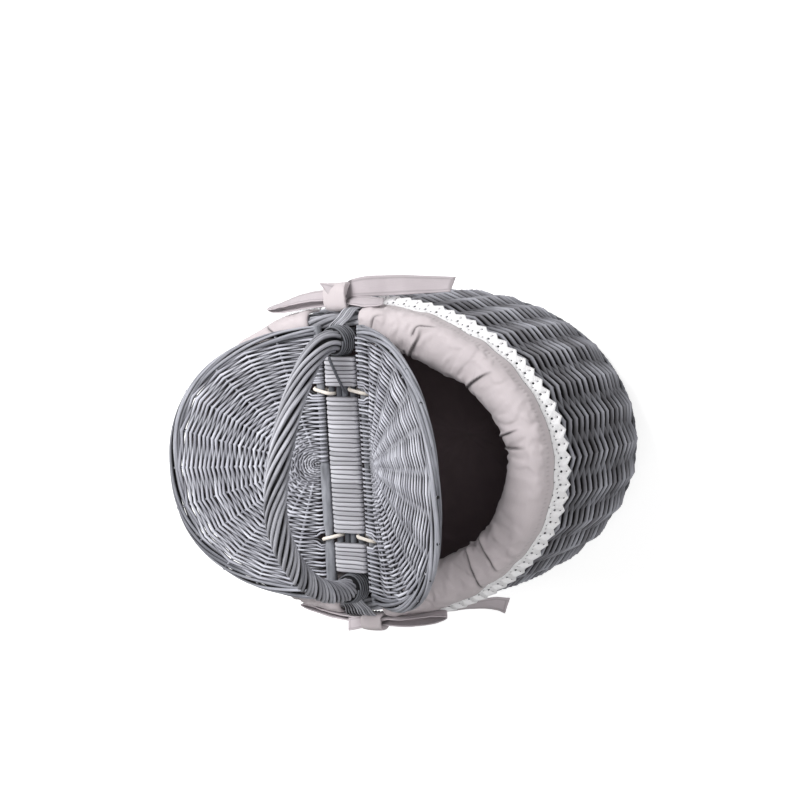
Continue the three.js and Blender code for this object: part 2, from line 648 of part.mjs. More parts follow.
// Bow: a knot against the border, a long and a short loop along the cuffs, a long and a short tail.
// A pressed bow has its loops lying flat against the cuffs; the knot covers most of their depth.
function makeBow(name, side, { knotOffset, gape, shortLoop, pressed, tailTurn }) {
  const bow = new THREE.Group();
  const near = RIM_HALF_WIDTH + borderReach + FIT;
  const middle = borderTop - KNOT_DROP;
  bow.position.set(knotOffset, side * near, middle);
  basket.add(bow);

  const turn = THREE.MathUtils.degToRad(BOW_LOOP_TURN);
  const slope = THREE.MathUtils.degToRad(TAIL_SLOPE);
  const tailSwing = THREE.MathUtils.degToRad(tailTurn);
  const tailLevel = KNOT_HEIGHT / 2 - KNOT_CORNER - RIBBON_THICKNESS / 2;
  const halfDepth = pressed ? gape / 2 : RIBBON_WIDTH / 2;
  const halfHeight = pressed ? RIBBON_WIDTH / 2 : gape / 2;
  const raise = pressed ? halfHeight - tailLevel + RIBBON_THICKNESS + FIT : 0;
  const loopStart = KNOT_LENGTH / 2 + FIT + halfDepth * Math.sin(turn);
  const loopShift = (direction) => {
    const run = Math.max(0, CUFF_HALF_GAP - direction * knotOffset - loopStart);
    return reachAt(middle - halfHeight - raise) + FIT - borderReach + run * Math.tan(turn) + halfDepth;
  };

  const knotDepth = Math.max(loopShift(1), loopShift(-1)) + KNOT_COVER * halfDepth;
  const knotShape = roundedRectangle(KNOT_LENGTH, KNOT_HEIGHT, KNOT_CORNER);
  const knot = piece(`${name}_bow_knot`, extrudeAlongY(knotShape, knotDepth), paleCotton);
  knot.position.y = (side * knotDepth) / 2;
  bow.add(knot);

  const addLoop = (loopName, length, direction) => {
    const ring = new THREE.Shape().absellipse(length / 2, 0, length / 2, gape / 2, 0, 2 * Math.PI);
    const hole = new THREE.Path();
    const [holeX, holeY] = [length / 2 - RIBBON_THICKNESS, gape / 2 - RIBBON_THICKNESS];
    hole.absellipse(length / 2, 0, holeX, holeY, 0, 2 * Math.PI);
    ring.holes.push(hole);
    const geometry = extrudeAlongY(ring, RIBBON_WIDTH, BOW_LOOP_SEGMENTS);
    if (pressed) geometry.rotateX(Math.PI / 2);
    const loop = piece(`${name}_bow_loop_${loopName}`, geometry, paleCotton);
    loop.position.set(direction * loopStart, side * loopShift(direction), direction * raise);
    loop.rotation.z = direction > 0 ? -side * turn : Math.PI + side * turn;
    bow.add(loop);
  };
  addLoop('left', LONG_LOOP_LENGTH, -1);
  addLoop('right', shortLoop, 1);

  const swingOut = (RIBBON_WIDTH / 2) * Math.sin(tailSwing);
  const tailStart = KNOT_LENGTH / 2 + FIT + (RIBBON_THICKNESS / 2) * Math.sin(slope) + swingOut;
  const tailShift = Math.max(...heights(0, LONG_TAIL_LENGTH, TAIL_STEPS).map((along) => {
    const level = along * Math.cos(slope);
    const x = knotOffset + tailStart + level * Math.cos(tailSwing);
    const inside = edgeOf(x, middle - tailLevel - along * Math.sin(slope));
    return inside + CUFF_STAND_OFF - near + level * Math.sin(tailSwing);
  }));
  const addTail = (tailName, length, direction) => {
    const shape = boxBetween(
      [0, -RIBBON_WIDTH / 2, -RIBBON_THICKNESS / 2],
      [length, RIBBON_WIDTH / 2, RIBBON_THICKNESS / 2],
    );
    const tail = piece(`${name}_bow_tail_${tailName}`, closed(shape), paleCotton);
    tail.rotation.y = slope;
    const hang = new THREE.Group();
    hang.position.set(direction * tailStart, side * (tailShift + RIBBON_WIDTH / 2), -direction * tailLevel);
    hang.rotation.z = -side * tailSwing;
    hang.rotation.y = direction > 0 ? 0 : Math.PI;
    hang.add(tail);
    bow.add(hang);
  };
  addTail('left', SHORT_TAIL_LENGTH, -1);
  addTail('right', LONG_TAIL_LENGTH, 1);
}

makeBase();
makeWall();
makeHandle();
makeBindings();
makeBar();
makeLids();
makeLiner();
makeBow('front', 1, {
  knotOffset: FRONT_KNOT_OFFSET,
  gape: FRONT_LOOP_GAPE,
  shortLoop: FRONT_SHORT_LOOP_LENGTH,
  pressed: false,
  tailTurn: FRONT_TAIL_TURN,
});
makeBow('back', -1, {
  knotOffset: BACK_KNOT_OFFSET,
  gape: BACK_LOOP_GAPE,
  shortLoop: BACK_SHORT_LOOP_LENGTH,
  pressed: true,
  tailTurn: BACK_TAIL_TURN,
});

export default basket;
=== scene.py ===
import math
import random

import bmesh
import bpy
import numpy as np
from mathutils import Matrix, Vector, noise


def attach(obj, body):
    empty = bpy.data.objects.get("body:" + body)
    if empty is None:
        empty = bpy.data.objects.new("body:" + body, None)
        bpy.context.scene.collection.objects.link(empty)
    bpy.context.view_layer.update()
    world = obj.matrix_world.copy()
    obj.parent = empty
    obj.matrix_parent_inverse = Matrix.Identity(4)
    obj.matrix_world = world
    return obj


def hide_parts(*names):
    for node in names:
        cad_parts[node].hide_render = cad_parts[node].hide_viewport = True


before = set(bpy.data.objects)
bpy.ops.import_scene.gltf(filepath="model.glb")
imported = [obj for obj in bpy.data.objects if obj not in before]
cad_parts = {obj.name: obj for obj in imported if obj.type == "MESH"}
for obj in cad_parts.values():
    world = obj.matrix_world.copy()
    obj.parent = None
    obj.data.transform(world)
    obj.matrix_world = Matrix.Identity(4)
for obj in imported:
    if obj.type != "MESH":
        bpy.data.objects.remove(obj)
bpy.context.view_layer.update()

# Sizes are in millimetres here, and every mesh is scaled to metres as it is made.
MM = 0.001
SIDES = (("left", -1), ("right", 1))

# Body
BASE_HALF = (186, 146)
BELLY_HALF = (208, 156)
RIM_HALF = (195, 141)
BELLY_HEIGHT = 85
WALL_HEIGHT = 222
FOOT_ROUNDNESS = 2.5
SHOULDER_ROUNDNESS = 3
STAKES = 32
STAKE_RADIUS = 2.4
STAKE_LEVELS = (14, 225)
SIDE_MIDDLE = -5.6
SIDE_SWING = 4.3
SIDE_ROWS = 39
SIDE_ROD_RADIUS = 2.75
SIDE_LEVELS = (21.0, 219.4)
BORDER_MIDDLE = 228.8
BORDER_INSET = 4.5
BORDER_ROD_RADIUS = 2.6
HOOP_LEVELS = (5.2, 13.2)
BASE_MIDDLE = 6.1
BASE_OUTSET = -13.2
BASE_STICKS = 26
BASE_ROWS = 35
BASE_ROD_RADIUS = 2.35
BASE_STICK_RADIUS = 2.4

# Handle
HANDLE_FOOT = 118.2
HANDLE_LEAN = -28
HANDLE_CROWN = 363.3
HANDLE_STRAIGHT = 259.9
HANDLE_LOW = 222.3
FRONT_PULLS = (48, 45)
BACK_PULLS = (70, 25)
ROPE_STRANDS = 10
ROPE_REACH = 8.7
ROPE_STRAND_RADIUS = 2.25
ROPE_CORE_RADIUS = 6.4
LONG_LAY = 210
SHORT_LAY = 60
BINDING_RADIUS = 1.1
BINDING_LOW = 238.6
TIE_RADIUS = 1.2

# Bar and lids
HINGE_HEIGHT = 244.9
HINGE_REACH = 24.6
BAR_HALF = (17.1, 6.1)
CANE_PITCH = 4.3
CANE_MAP_WIDTH = 0.4
LATH_RADIUS = 3.0
LATH_HALF_LENGTH = 102.6
LATHS = (-12.1, -3.15, 3.15, 12.1)
STRAND_RADIUS = 1.25
CANE_RUNS = (("front", 74.7, 103.2), ("middle", -65.3, 65.3), ("back", -103.2, -74.7))
HINGE_Y = 70
LOOP_SLANT = 0.24
LOOP_INNER = 14.4
LOOP_REACH = 5.8
LOOP_RADIUS = 1.75
LOOP_GAP = 4.8
LOOP_EASE = 12
LID_LENGTH = 190
LID_HALF_WIDTH = 132
LID_SQUARENESS = 2.26
LID_SKEW = 8
LID_CROWN = 5
LID_OPEN = math.radians(39)
LID_RIBS = 11
LID_ROWS = 58
LID_INSET = 11.5
LID_ROD_RADIUS = 1.58
LID_RIB_RADIUS = 1.6
EDGE_STRANDS = 8
EDGE_ROD_RADIUS = 1.7
HINGE_ROD_RADIUS = 3.95
LID_CENTRE = 8.4

# Liner and bows
CUFF_THICKNESS = 0.8
LACE_THICKNESS = 0.6
RIBBON_THICKNESS = 0.9
POUCH_THICKNESS = 0.9
CUFF_GAPS = {-1: (25, 44), 1: (25, 17)}
CUFF_TOP = 238.9
CUFF_DEPTH = 67.6
CUFF_GRID = (560, 56)
STITCH_LINE = 0.87
HEM_HEIGHT = 211.3
SPAN_STEPS = 400
LACE_POINT = 11.3
LACE_CELLS = 10
LACE_ROWS = 14
LACE_DEPTH = 14
LACE_TIP = 6
LACE_SEAM = 7.2
POUCH_NECK = 145

# Pleats of each cuff: the side that lies on top, and a line of
# (run along the rim, share of the way to the hem)
PLEATS = {
    1: [
        (-1, [(234.1, 0), (231.6, 0.34), (229.7, 0.515), (227.4, 0.575), (219, 0.625)]),
        (1, [(192.6, 0), (184, 0.22), (177.7, 0.434), (179.1, 0.56)]),
        (-1, [(183.3, 0.463), (181.9, 0.58), (174.5, 0.64), (164.7, 0.706)]),
        (1, [(107.1, 0), (103, 0.294), (95.6, 0.64)]),
        (1, [(34.7, 0), (35.7, 0.22), (37.1, 0.48)]),
        (-1, [(20.9, 0), (20.9, 0.11), (17.2, 0.52)]),
        (1, [(-94.1, 0), (-99.8, 0.37), (-109.5, 0.75)]),
        (1, [(-114.9, 0), (-121.6, 0.34), (-139.7, 1.0)]),
        (-1, [(-185, 0), (-190, 0.55)]),
        (1, [(-224, 0), (-228, 0.6)]),
    ],
    -1: [
        (1, [(183.8, 0.5), (175, 0.72)]),
        (-1, [(120, 0), (112, 0.6)]),
        (1, [(60, 0), (66, 0.45)]),
        (1, [(5, 0), (0, 0.55)]),
        (-1, [(-60, 0), (-66, 0.7)]),
        (1, [(-130, 0), (-138, 0.6)]),
        (-1, [(-190, 0), (-196, 0.8)]),
    ],
}

# A ribbon that reaches this far past its knot gets a painted shadow from it
RIBBON_CLEAR = 20

# Middle and half size of each knot, and the two edges of each ribbon from the knot outwards
KNOTS = {
    "front": ((-9.5, 158.3, 227.3), (11.6, 13.2, 9.4)),
    "back": ((11, -153.8, 227.3), (10.6, 8.2, 9.4)),
}
BOWS = {
    "front": {
        "loop_left": [
            ((-19, 165.7, 222), (-14, 154.9, 231)), ((-44.2, 163.4, 222), (-36.9, 154.7, 234.6)),
            ((-62.2, 159.5, 222), (-54.2, 153, 235.5)), ((-79.3, 154.6, 222), (-69.9, 150.7, 235.6)),
            ((-92.9, 150.6, 222), (-82.7, 148.6, 235.5)), ((-99.2, 148.2, 221), (-88.9, 147.7, 234.5)),
            ((-95.8, 147.1, 220), (-84.4, 145.4, 232.5)), ((-81.9, 149.1, 219), (-72.5, 144.9, 232.5)),
            ((-65.5, 153.6, 218), (-56.7, 146.9, 230.9)), ((-47.8, 157.4, 217.5), (-40.6, 148.4, 230)),
            ((-19, 160.2, 219), (-14, 149.6, 228.6)),
        ],
        "loop_right": [
            ((-5, 157, 222), (-3, 152.7, 232)), ((6.2, 157.5, 222), (14.2, 150.2, 235.4)),
            ((18, 157.4, 221), (23.5, 148.5, 234.8)), ((27.8, 156, 219), (35.4, 148.6, 233)),
            ((33.6, 154.5, 216), (41.1, 150, 230.3)), ((25, 152.5, 215), (32.3, 149.8, 229.5)),
            ((13.7, 152.5, 215), (20.4, 148.8, 229)), ((2, 153.5, 216), (10.8, 147.8, 229)),
            ((-5, 154.6, 219), (-3, 149.3, 228)),
        ],
        "tail_right": [
            ((-6, 168, 226), (-6, 155, 228)), ((3, 174, 224), (3, 157.5, 224)),
            ((15, 176.5, 216), (20.5, 157.3, 216)),
            ((30, 176.4, 206), (34.3, 157.1, 206)), ((41.1, 175.8, 197), (51.1, 157.2, 197)),
            ((62.4, 173.4, 181), (65.5, 157.1, 184)), ((83.7, 170.7, 165), (82.8, 157.3, 175.4)),
        ],
        "tail_left": [
            ((-6, 167, 231), (-6, 152, 233)), ((-14, 171.3, 236), (-12, 157, 236)),
            ((-24, 173, 239), (-16, 162, 237)),
        ],
    },
    "back": {
        "loop_left": [
            ((5, -150, 220), (5, -150, 234)), ((-20, -149.6, 217), (-20, -149.4, 234)),
            ((-45, -147, 214), (-45, -146.8, 231)), ((-68, -143.6, 211), (-68, -143.2, 228)),
            ((-77, -144, 209.5), (-77, -143.8, 226.5)), ((-68, -147.6, 210), (-68, -147.6, 227)),
            ((-45, -151.4, 213), (-45, -151.8, 230)), ((-20, -153.4, 216), (-20, -154, 233)),
            ((5, -153.5, 220), (5, -154.5, 234)),
        ],
        "loop_right": [
            ((17, -150, 222), (18, -150, 235)), ((37.9, -147.8, 225), (47, -148.4, 238)),
            ((58.5, -144.8, 222), (67.6, -145.6, 235.2)), ((74.5, -141.4, 219), (82.7, -144, 232.7)),
            ((84, -142, 215), (92.3, -145, 229.4)), ((74.8, -146.4, 213), (83.5, -150, 227.1)),
            ((58, -150.4, 213), (67.3, -154.4, 226.4)), ((36.6, -152.8, 215), (45.6, -157, 228)),
            ((17, -153.5, 220), (18, -156, 233)),
        ],
        "tail_right": [
            ((16, -152, 222), (14, -157, 214)), ((43.7, -148.4, 213), (36, -154.4, 199)),
            ((60.3, -144.6, 207), (52.3, -151.4, 193.2)), ((74.6, -141.8, 201), (66.7, -149.4, 187.3)),
            ((90.5, -138.4, 190), (82.2, -148, 177.6)), ((100.4, -137.6, 180), (96.3, -148.5, 167.6)),
            ((111.2, -136.5, 170), (108.3, -150.9, 161.5)), ((122.6, -138.1, 161), (115.8, -153.7, 160.3)),
        ],
        "tail_left": [
            ((5, -149, 230), (5, -159, 234)), ((-6, -150, 233), (-5, -161, 238)),
            ((-15, -151, 235), (-12, -162, 241)),
        ],
    },
}


# Shapes that the pieces share


def oval_at(z, outset=0):
    """Half-length and half-width of the body at a height."""
    below = max(0, (BELLY_HEIGHT - z) / BELLY_HEIGHT) ** FOOT_ROUNDNESS
    above = min(1, max(0, (z - BELLY_HEIGHT) / (WALL_HEIGHT - BELLY_HEIGHT))) ** SHOULDER_ROUNDNESS
    return [
        belly - (belly - base) * below - (belly - rim) * above + outset
        for belly, base, rim in zip(BELLY_HALF, BASE_HALF, RIM_HALF)
    ]


def on_oval(angle, z, outset=0):
    """A point of the body's outline at a height."""
    a, b = oval_at(z, outset)
    return (a * math.cos(angle), b * math.sin(angle), z)


def run_along(points):
    """How far along a line of points each of them lies."""
    run = [0.0]
    for before, after in zip(points, points[1:]):
        run.append(run[-1] + (after - before).length)
    return run


def even_angles(outline, start, end, count):
    """Angles between start and end that lie evenly along an outline."""
    steps = 2000
    angles = [start + (end - start) * i / steps for i in range(steps + 1)]
    run = run_along([Vector(outline(angle)) for angle in angles])
    return np.interp([run[-1] * i / count for i in range(count + 1)], run, angles)


def signed_power(value, power):
    return math.copysign(abs(value) ** power, value)


def round_body(count):
    """Angles that lie evenly round the belly, without the last, which is the first again."""
    return even_angles(lambda angle: on_oval(angle, BELLY_HEIGHT), 0, 2 * math.pi, count)[:-1]


def zigzag(turns):
    """In and out once in two turns, straight between the bends and a little rounded at them."""
    swing = math.cos(math.pi * turns)
    return 0.85 * 2 / math.pi * math.asin(swing) + 0.15 * swing


def run_between(bends, steps, rounding, closed=False):
    """Straight runs between bends, each bend a little rounded: (bend, step, place) in turn."""
    for k in range(len(bends) if closed else len(bends) - 1):
        ahead = bends[(k + 1) % len(bends)]
        for i in range(steps):
            place = bends[k].lerp(ahead, i / steps)
            if i == 0 and (closed or k > 0):
                place = bends[k].lerp((bends[k - 1] + ahead) / 2, rounding)
            yield k, i, place


def waver(*place):
    """A smooth unevenness between -1 and 1."""
    return noise.noise(Vector(place))


# Meshes


def add_object(name, mesh):
    made = bpy.data.objects.new(name, mesh)
    bpy.context.scene.collection.objects.link(made)
    return made


def mark(mesh, name, domain, values):
    """Stores a number for each point, corner or face of a mesh."""
    layer = mesh.attributes.new(name, "FLOAT", domain)
    layer.data.foreach_set("value", np.asarray(values, np.float32).ravel())


def read_map(mesh):
    uv = np.empty(len(mesh.loops) * 2, np.float32)
    mesh.uv_layers[0].data.foreach_get("uv", uv)
    return uv.reshape(-1, 2)


def rods(name, paths, radius, sides=8, closed=False, seed=1, outward=None):
    """Round rods along paths of (x, y, z) or (x, y, z, share of the radius), each with a tone of its own, and
    with painted shade where outward is given.
    """
    curve = bpy.data.curves.new(name, "CURVE")
    curve.dimensions = "3D"
    curve.bevel_depth = radius * MM
    curve.bevel_resolution = sides // 2 - 2
    curve.use_fill_caps = not closed
    for path in paths:
        spline = curve.splines.new("POLY")
        spline.points.add(len(path) - 1)
        spline.use_cyclic_u = closed
        for point, place in zip(spline.points, path):
            point.co = (place[0] * MM, place[1] * MM, place[2] * MM, 1)
            point.radius = place[3] if len(place) > 3 else 1
    holder = add_object(name, curve)
    mesh = bpy.data.meshes.new_from_object(holder.evaluated_get(bpy.context.evaluated_depsgraph_get()))
    bpy.data.objects.remove(holder)
    bpy.data.curves.remove(curve)
    mark_rods(mesh, paths, sides, closed, seed)
    # Painted shade: each rod is darkened where it turns away from the open side or lies deep in the weave.
    if outward is not None:
        mark_painted_shade(mesh, outward)
    mesh.name = name
    return add_object(name, mesh)


def mark_painted_shade(mesh, outward):
    """Marks painted shade on a rod: how far each point of it is turned or sunk into the weave.

    outward gives the open side of each point and how deep it lies.
    """
    places, normals = np.empty((2, len(mesh.vertices) * 3), np.float32)
    mesh.vertices.foreach_get("co", places)
    mesh.vertices.foreach_get("normal", normals)
    normals = normals.reshape(-1, 3)
    open_side, depth = outward(places.reshape(-1, 3) / MM, normals)
    open_side = open_side / np.maximum(1e-9, np.linalg.norm(open_side, axis=1, keepdims=True))
    facing = (normals * open_side).sum(axis=1)
    hidden = np.clip((0.9 - facing) / 0.72, 0, 1)
    # Painted shade, darkest where a point faces away from the open side or lies deep.
    mark(mesh, "painted_shade", "POINT", 1 - (1 - hidden) * (1 - depth))


def from_axis(places, normals):
    """Open side and depth for the painted shade of the side: away from the upright axis of the oval body, and
    deep where a rod passes behind a stake.
    """
    halves = np.array([oval_at(z, SIDE_MIDDLE) for z in places[:, 2]])
    share = np.hypot(places[:, 0] / halves[:, 0], places[:, 1] / halves[:, 1])
    offset = (share - 1) * halves.mean(axis=1)
    away = np.column_stack([places[:, :2] / halves ** 2, places[:, 2] * 0])
    return away, 0.8 * np.clip((5 - offset) / 6.5, 0, 1)


def from_line(line):
    """Open side for painted shade: away from the nearest point of a line."""
    middle = np.array([tuple(place) for place in line])

    def away(places, normals):
        nearest = [int(np.argmin(((middle - place) ** 2).sum(axis=1))) for place in places]
        return places - middle[nearest], 0

    return away


def sunk(places, normals):
    """Painted shade, dark nearly all over, for a core that is only seen between the rods round it."""
    return normals, 0.9


def mark_rods(mesh, paths, sides, closed, seed):
    """Gives each rod its tone, and a map that runs along it in centimetres."""
    chance = random.Random(seed)
    tones = [chance.random() for _ in paths]
    spans = [len(path) if closed else len(path) - 1 for path in paths]
    caps = 0 if closed else 2 * (sides - 2)
    faces = [span * sides + caps for span in spans]
    corners = [span * sides * 4 + caps * 3 for span in spans]
    lengths = [run_along([Vector(place[:3]) for place in path])[-1] / 10 for path in paths]
    mark(mesh, "tone", "FACE", np.repeat(tones, faces))
    uv = read_map(mesh)
    uv[:, 0] = uv[:, 0] * np.repeat(lengths, corners) + np.repeat([97 * tone for tone in tones], corners)
    mesh.uv_layers[0].data.foreach_set("uv", uv.ravel())


def sheet(name, columns, rows, place, size, join=False):
    """A sheet of cloth or cane from a grid.

    place(s, t) puts each point, and size is its map in centimetres.
    """
    bm = bmesh.new()
    layer = bm.loops.layers.uv.new("UVMap")
    bmesh.ops.create_grid(bm, x_segments=columns, y_segments=rows, size=0.5, calc_uvs=True)
    for face in bm.faces:
        for loop in face.loops:
            s, t = loop.vert.co.x + 0.5, loop.vert.co.y + 0.5
            loop[layer].uv = (s * size[0], t * size[1])
        face.smooth = True
    for vert in bm.verts:
        vert.co = Vector(place(vert.co.x + 0.5, vert.co.y + 0.5)) * MM
    if join:
        bmesh.ops.remove_doubles(bm, verts=bm.verts, dist=1e-6)
    bmesh.ops.recalc_face_normals(bm, faces=bm.faces)
    mesh = bpy.data.meshes.new(name)
    bm.to_mesh(mesh)
    bm.free()
    return add_object(name, mesh)


def give_thickness(piece, thickness):
    wall = piece.modifiers.new("thickness", "SOLIDIFY")
    wall.thickness = thickness * MM
    wall.offset = 0


def mark_points(piece, values):
    """Stores the painted shade of each point of a sheet, row by row: how deep in a crease or shadow it lies."""
    mark(piece.data, "painted_shade", "POINT", np.clip(values, 0, 1))


def finish_piece(piece, finish, slot, *nodes, body="basket"):
    """Gives a piece its material, its body and the nodes that it stands for."""
    piece.data.materials.clear()
    piece.data.materials.append(finish)
    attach(piece, body)
    if nodes:
        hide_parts(*nodes)


# Materials


def put(tree, kind, settings=None, order=(), **sockets):
    """Adds a node; order fills its sockets by place, and the rest are named."""
    made = tree.nodes.new("ShaderNode" + kind)
    for name, value in (settings or {}).items():
        setattr(made, name, value)
    for i, value in enumerate(order):
        if value is not None:
            fill(tree, made.inputs[i], value)
    for name, value in sockets.items():
        fill(tree, made.inputs[name.replace("_", " ")], value)
    return made


def fill(tree, socket, value):
    """Links a socket to another, or sets its value."""
    if isinstance(value, bpy.types.NodeSocket):
        tree.links.new(value, socket)
    else:
        socket.default_value = value


def math_node(tree, operation, *values, clamp=False):
    return put(tree, "Math", {"operation": operation, "use_clamp": clamp}, values).outputs[0]


def new_group(name, inputs):
    """A group of nodes that gives a surface its colour, roughness and height."""
    tree = bpy.data.node_groups.new(name, "ShaderNodeTree")
    for label, kind in inputs.items():
        tree.interface.new_socket(label, in_out="INPUT", socket_type="NodeSocket" + kind)
    for label, kind in (("Colour", "Color"), ("Roughness", "Float"), ("Height", "Float")):
        tree.interface.new_socket(label, in_out="OUTPUT", socket_type="NodeSocket" + kind)
    return tree, tree.nodes.new("NodeGroupInput").outputs, tree.nodes.new("NodeGroupOutput").inputs


def mix_colour(tree, share, first, second):
    return put(tree, "Mix", {"data_type": "RGBA"}, (share, *[None] * 5, first, second)).outputs[2]


def stretched_noise(tree, place, scale, detail=2.0, roughness=0.5):
    stretched = put(tree, "Mapping", Vector=place, Scale=scale).outputs[0]
    return put(tree, "TexNoise", Vector=stretched, Scale=1.0, Detail=detail, Roughness=roughness).outputs[0]


def add_up(tree, first, *parts):
    """The sum of values, each with its weight, kept between 0 and 1."""
    total = math_node(tree, "MULTIPLY", *first)
    for value, weight in parts[:-1]:
        total = math_node(tree, "MULTIPLY_ADD", value, weight, total)
    return math_node(tree, "MULTIPLY_ADD", *parts[-1], total, clamp=True)


def make_rod_grain_and_shade():
    """Stain on a willow rod: its own tone, long streaks and blotches, and painted shade that darkens it in the
    crevices.
    """
    tree, given, result = new_group("rod_grain_and_shade", {"Dark": "Color", "Light": "Color"})
    along = put(tree, "UVMap", {"uv_map": "UVMap"}).outputs[0]
    tone = put(tree, "Attribute", {"attribute_name": "tone"}).outputs["Fac"]
    painted_shade = put(tree, "Attribute", {"attribute_name": "painted_shade"}).outputs["Fac"]
    streak = stretched_noise(tree, along, (0.55, 7.0, 1.0), 3.0, 0.6)
    blotch = stretched_noise(tree, along, (0.22, 1.0, 1.0))
    pores = stretched_noise(tree, along, (4.0, 16.0, 1.0))
    share = add_up(tree, (tone, 0.55), (streak, 0.75), (blotch, 0.8), (1.0, -0.55))
    stain = mix_colour(tree, share, given["Dark"], given["Light"])
    # Painted shade: the stain is mixed towards near black where the rod turns away or lies deep.
    fill(tree, result["Colour"], mix_colour(tree, painted_shade, stain, PAINTED_CREVICE_SHADE))
    fill(tree, result["Roughness"], math_node(tree, "MULTIPLY_ADD", streak, 0.3, 0.45))
    fill(tree, result["Height"], math_node(tree, "MULTIPLY_ADD", pores, 0.4, streak))
    return tree


def make_plain_weave_and_shade():
    """Plain weave of cotton threads on a map in centimetres, with slubs, and painted shade in creases."""
    tree, given, result = new_group("plain_weave_and_shade", {"Thread": "Color", "Shade": "Color", "Threads": "Float"})
    place = put(tree, "UVMap", {"uv_map": "UVMap"}).outputs[0]
    painted_shade = put(tree, "Attribute", {"attribute_name": "painted_shade"}).outputs["Fac"]
    ripple = []
    for part in put(tree, "SeparateXYZ", Vector=place).outputs[:2]:
        turns = math_node(tree, "MULTIPLY", part, given["Threads"])
        ripple.append(math_node(tree, "SINE", math_node(tree, "MULTIPLY", turns, math.pi)))
    weave = math_node(tree, "MULTIPLY", *ripple)
    slub = stretched_noise(tree, place, (1.2, 14.0, 1.0))
    cloud = put(tree, "TexNoise", Vector=place, Scale=0.35, Detail=3.0).outputs[0]
    share = add_up(tree, (weave, 0.16), (slub, 0.35), (cloud, 0.45))
    cloth = mix_colour(tree, share, given["Thread"], given["Shade"])
    # Painted shade: the cloth is mixed towards near black in creases, along hems and beside knots.
    deep = math_node(tree, "MULTIPLY", painted_shade, 0.92, clamp=True)
    fill(tree, result["Colour"], mix_colour(tree, deep, cloth, CREASE_SHADE))
    fill(tree, result["Roughness"], math_node(tree, "MULTIPLY_ADD", slub, 0.12, 0.82))
    fill(tree, result["Height"], math_node(tree, "MULTIPLY_ADD", slub, 0.6, weave))
    return tree


def dress(name, group, bump, relief, gloss, **sockets):
    """A material whose colour, roughness and height come from a group."""
    finish, tree, surface = new_finish(name)
    made = put(tree, "Group", {"node_tree": group}, **sockets).outputs
    height = put(tree, "Bump", Height=made["Height"], Strength=bump, Distance=relief)
    fill(tree, surface["Base Color"], made["Colour"])
    fill(tree, surface["Roughness"], made["Roughness"])
    fill(tree, surface["Normal"], height.outputs[0])
    surface["Specular IOR Level"].default_value = gloss
    return finish, surface


def tint(red, green, blue):
    """A colour as a paint program writes it, from 0 to 255, made linear."""
    linear = [(value / 255 / 12.92) if value < 11 else ((value / 255 + 0.055) / 1.055) ** 2.4
              for value in (red, green, blue)]
    return (*linear, 1)


def new_finish(name):
    finish = bpy.data.materials.new(name)
    finish.use_nodes = True
    tree = finish.node_tree
    return finish, tree, tree.nodes["Principled BSDF"].inputs


def willow_finish(name, dark, light):
    return dress(name, ROD_GRAIN_AND_SHADE, 0.35, 0.0003, 0.22, Dark=tint(*dark), Light=tint(*light))[0]


def cotton_finish(name, thread, shade, threads=26, bump=0.3):
    finish, surface = dress(name, PLAIN_WEAVE_AND_SHADE, bump, 0.0002, 0.2,
                            Thread=tint(*thread), Shade=tint(*shade), Threads=threads)
    surface["Sheen Weight"].default_value = 0.15
    return finish


# Near black of the painted shade in the crevices of rods and in the creases of cloth.
PAINTED_CREVICE_SHADE = (0.012, 0.011, 0.012, 1)
CREASE_SHADE = (0.02, 0.015, 0.016, 1)
ROD_GRAIN_AND_SHADE = make_rod_grain_and_shade()
PLAIN_WEAVE_AND_SHADE = make_plain_weave_and_shade()
side_willow = willow_finish("side_willow", (104, 102, 106), (208, 209, 219))
border_willow = willow_finish("border_willow", (60, 61, 66), (188, 190, 198))
lid_willow = willow_finish("lid_willow", (142, 142, 152), (238, 239, 249))
lid_edge_willow = willow_finish("lid_edge_willow", (72, 73, 80), (194, 195, 204))
handle_willow = willow_finish("handle_willow", (102, 102, 108), (216, 216, 224))
dark_willow = willow_finish("dark_willow", (54, 55, 60), (122, 124, 131))
pale_cane = willow_finish("pale_cane", (146, 145, 151), (222, 221, 228))
cream_cane = willow_finish("cream_cane", (226, 216, 205), (246, 240, 232))
pale_cotton = cotton_finish("pale_cotton", (212, 203, 205), (186, 177, 180))
# A darker copy of the pale cotton for the ribbons: painted shade, for the shadow they hang in.
ribbon_cotton_painted_shade = cotton_finish("ribbon_cotton_painted_shade", (203, 194, 198), (176, 168, 172))
dark_cotton = cotton_finish("dark_cotton", (126, 110, 114), (98, 86, 89))
white_lace = cotton_finish("white_lace", (254, 253, 254), (244, 243, 245), threads=14, bump=0.6)


# Body


